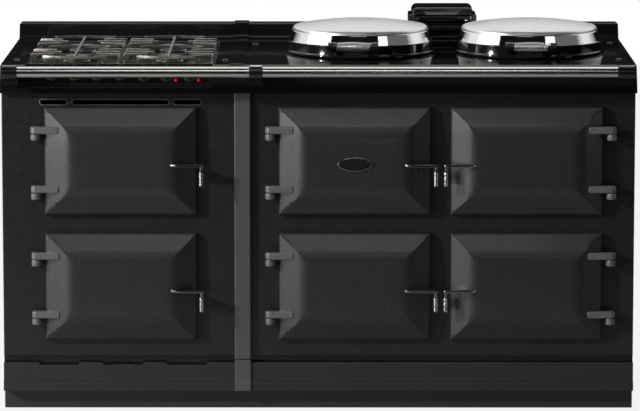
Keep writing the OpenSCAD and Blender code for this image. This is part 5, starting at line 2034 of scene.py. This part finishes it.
class LightSheet:
    """The nodes of the floor or the world, with the steps that both take."""

    def __init__(self, tree: bpy.types.NodeTree) -> None:
        """Holds the node tree."""
        self.tree = tree

    def sees(self) -> tuple[Socket, Socket]:
        """Adds Light Path.

        Returns:
            The socket that is 1 for the camera, and the one that is 1 for metal and glass.
        """
        seen = self.tree.nodes.new("ShaderNodeLightPath").outputs
        either = self.reckoned("MAXIMUM", seen["Is Glossy Ray"], seen["Is Transmission Ray"])
        return seen["Is Camera Ray"], either

    def reckoned(self, operation: str, a: Socket, b: Socket) -> Socket:
        """Adds a sum over two values.

        Args:
            operation: MAXIMUM or MULTIPLY.
            a: the first value.
            b: the second value.

        Returns:
            The result's socket.
        """
        node = self.tree.nodes.new("ShaderNodeMath")
        node.operation = operation
        self.tree.links.new(a, node.inputs[0])
        self.tree.links.new(b, node.inputs[1])
        return node.outputs["Value"]

    def graded(self, source: Socket, ends: Flat, values: Flat) -> Socket:
        """Adds a range that runs from one value to another.

        Args:
            source: the number that it follows.
            ends: where it starts and ends.
            values: its value there.

        Returns:
            The range's socket.
        """
        node = self.tree.nodes.new("ShaderNodeMapRange")
        for name, number in zip(("From Min", "From Max", "To Min", "To Max"), (*ends, *values)):
            node.inputs[name].default_value = number
        self.tree.links.new(source, node.inputs["Value"])
        return node.outputs["Result"]

    def chosen(self, when: Socket, a: Socket | float, b: Socket | float) -> Socket:
        """Adds a mix of two values.

        Args:
            when: 1 for b, 0 for a.
            a: the first value, or its socket.
            b: the second value, or its socket.

        Returns:
            The mix's socket.
        """
        node = self.tree.nodes.new("ShaderNodeMix")
        self.tree.links.new(when, node.inputs["Factor"])
        for name, value in (("A", a), ("B", b)):
            if isinstance(value, float):
                node.inputs[name].default_value = value
            else:
                self.tree.links.new(value, node.inputs[name])
        return node.outputs["Result"]


@dataclass
class Studio:
    """Camera, white floor, soft lights and a world that is white behind the range."""

    eye: Point = (0.0207, -10.604, 1.990)  # the camera's place
    aim: Point = (0.004, -0.304, 0.517)  # what it looks at
    lens: float = 233.1  # its focal length in millimetres
    dim: float = 0.006  # how bright metal sees the room in front of the range, where 1 is white
    bright: float = 1.0  # how bright metal sees it behind
    glow_rise: Flat = (0.14, 0.28)  # how steeply upward metal looks where it begins and ends to see it bright
    # the lights
    boxes: tuple[Softbox, ...] = (
        Softbox("key_box", (-5.4, -2.7, 3.1), (0.0, -0.3, 0.5), (0.35, 0.35), 330.0),
        Softbox("low_left_box", (-4.5, -3.9, 0.4), (0.0, -0.3, 0.5), (3.0, 0.8), 62.0),
        Softbox("left_wall", (-4.6, -1.1, 3.7), (0.1, -0.1, 0.9), (4.2, 1.6), 32.0),
        Softbox("right_box", (2.7, -3.1, 3.6), (0.1, -0.1, 0.9), (1.2, 0.8), 4.5),
        Softbox("right_wall", (4.4, -1.2, 3.2), (0.1, -0.1, 0.9), (4.0, 1.6), 3.0),
        Softbox("low_right_box", (4.6, -2.4, 0.6), (0.5, -0.3, 0.5), (1.0, 1.0), 3.0),
        Softbox("top_box", (-0.1, -3.2, 3.7), (0.0, -0.3, 0.6), (1.8, 0.6), 8.0),
        Softbox("glow_box", (0.35, -6.5, 0.3), (0.1, -0.3, 0.6), (0.5, 0.3), 0.7),
        Softbox("rail_box", (0.0, -6.8, 4.0), (0.0, -0.3, 0.8), (7.0, 0.5), 9.0))

    def camera(self) -> None:
        """Puts the camera at the photograph's angle."""
        Bench.clear()
        turn = (Vector(self.aim) - Vector(self.eye)).to_track_quat("-Z", "Y").to_euler()
        bpy.ops.object.camera_add(location=self.eye, rotation=turn)
        eye = bpy.context.view_layer.objects.active
        eye.data.lens = self.lens
        eye.data.sensor_width = 36.0
        eye.data.clip_end = 100.0
        bpy.context.scene.camera = eye

    def floor(self) -> None:
        """Lays a pale floor that keeps the range's shadow."""
        Bench.clear()
        bpy.ops.mesh.primitive_plane_add(size=1.0)
        floor = bpy.context.view_layer.objects.active
        floor.name = "studio_floor"
        Bench.edit()
        bpy.ops.transform.resize(value=(14, 11, 1))
        bpy.ops.transform.translate(value=(0, 2.2, 0))
        Bench.leave()
        sheet = NodeSheet("studio_white")
        sheet.set(Base_Color=(0.43, 0.42, 0.405, 1.0), Roughness=0.9, Specular_IOR_Level=0.1)
        tree = sheet.tree
        nodes = LightSheet(tree)
        camera, shine = nodes.sees()
        split = tree.nodes.new("ShaderNodeSeparateXYZ")
        tree.links.new(sheet.coords, split.inputs["Vector"])
        behind = nodes.graded(split.outputs["Y"], (0.0, 1.0), (0.0, self.bright))
        far = nodes.graded(split.outputs["Y"], (-1.5, -2.1), (0.0, 0.92))
        lit = nodes.reckoned("MAXIMUM", behind, far)
        share = nodes.chosen(camera, nodes.chosen(shine, 0.0, lit), 0.88)
        glow = tree.nodes.new("ShaderNodeEmission")
        near = nodes.graded(split.outputs["Y"], (-1.0, -0.9), (0.0, 1.0))
        tree.links.new(nodes.chosen(camera, near, 1.0), glow.inputs["Strength"])
        mix = tree.nodes.new("ShaderNodeMixShader")
        tree.links.new(share, mix.inputs["Fac"])
        tree.links.new(sheet.shader.outputs["BSDF"], mix.inputs[1])
        tree.links.new(glow.outputs["Emission"], mix.inputs[2])
        tree.links.new(mix.outputs["Shader"], tree.nodes["Material Output"].inputs["Surface"])
        floor.data.materials.append(sheet.material)

    def world(self) -> None:
        """Makes a world that the camera sees white, bright behind the range and dim in front."""
        world = bpy.data.worlds.new("studio_world")
        bpy.context.scene.world = world
        world.use_nodes = True
        tree = world.node_tree
        back = tree.nodes["Background"]
        back.inputs["Color"].default_value = (1.0, 1.0, 1.0, 1.0)
        coords = tree.nodes.new("ShaderNodeTexCoord")
        split = tree.nodes.new("ShaderNodeSeparateXYZ")
        tree.links.new(coords.outputs["Generated"], split.inputs["Vector"])
        nodes = LightSheet(tree)
        camera, shine = nodes.sees()
        light = nodes.graded(split.outputs["Y"], (-0.2, 0.35), (self.dim, 0.3))
        behind = nodes.graded(split.outputs["Y"], (-0.05, 0.2), (0.0, self.bright))
        high = nodes.graded(split.outputs["Z"], self.glow_rise, (0.0, 1.0))
        both = nodes.reckoned("MULTIPLY", behind, high)
        mirrored = nodes.graded(both, (0.0, self.bright), (self.dim, self.bright))
        strength = nodes.chosen(camera, nodes.chosen(shine, light, mirrored), 1.0)
        tree.links.new(strength, back.inputs["Strength"])

    def build(self) -> None:
        """Sets up everything that isn't part of the range."""
        self.camera()
        self.floor()
        self.world()
        for box in self.boxes:
            box.build()
        bpy.context.scene.view_settings.view_transform = "Standard"


def main() -> None:
    """Builds the studio and then every sub-assembly from the floor up."""
    logging.basicConfig(level=logging.INFO, format="%(name)s: %(message)s")
    Studio().build()
    plates = TopPlates()
    door = CastDoor()
    for part in (Base(), FrontPlates(), JointStrips(), plates, Rail(plates), Cowl(), Hob(), Controls(),
                 HingePosts(door), Plaque(), Lid("left_lid", PLATE_X[0], -5.0),
                 Lid("right_lid", PLATE_X[1], -1.5)):
        LOG.info("building %s", type(part).__name__)
        part.build()
    door.hang()
    KeptNodes().dress()


if __name__ == "__main__":
    main()
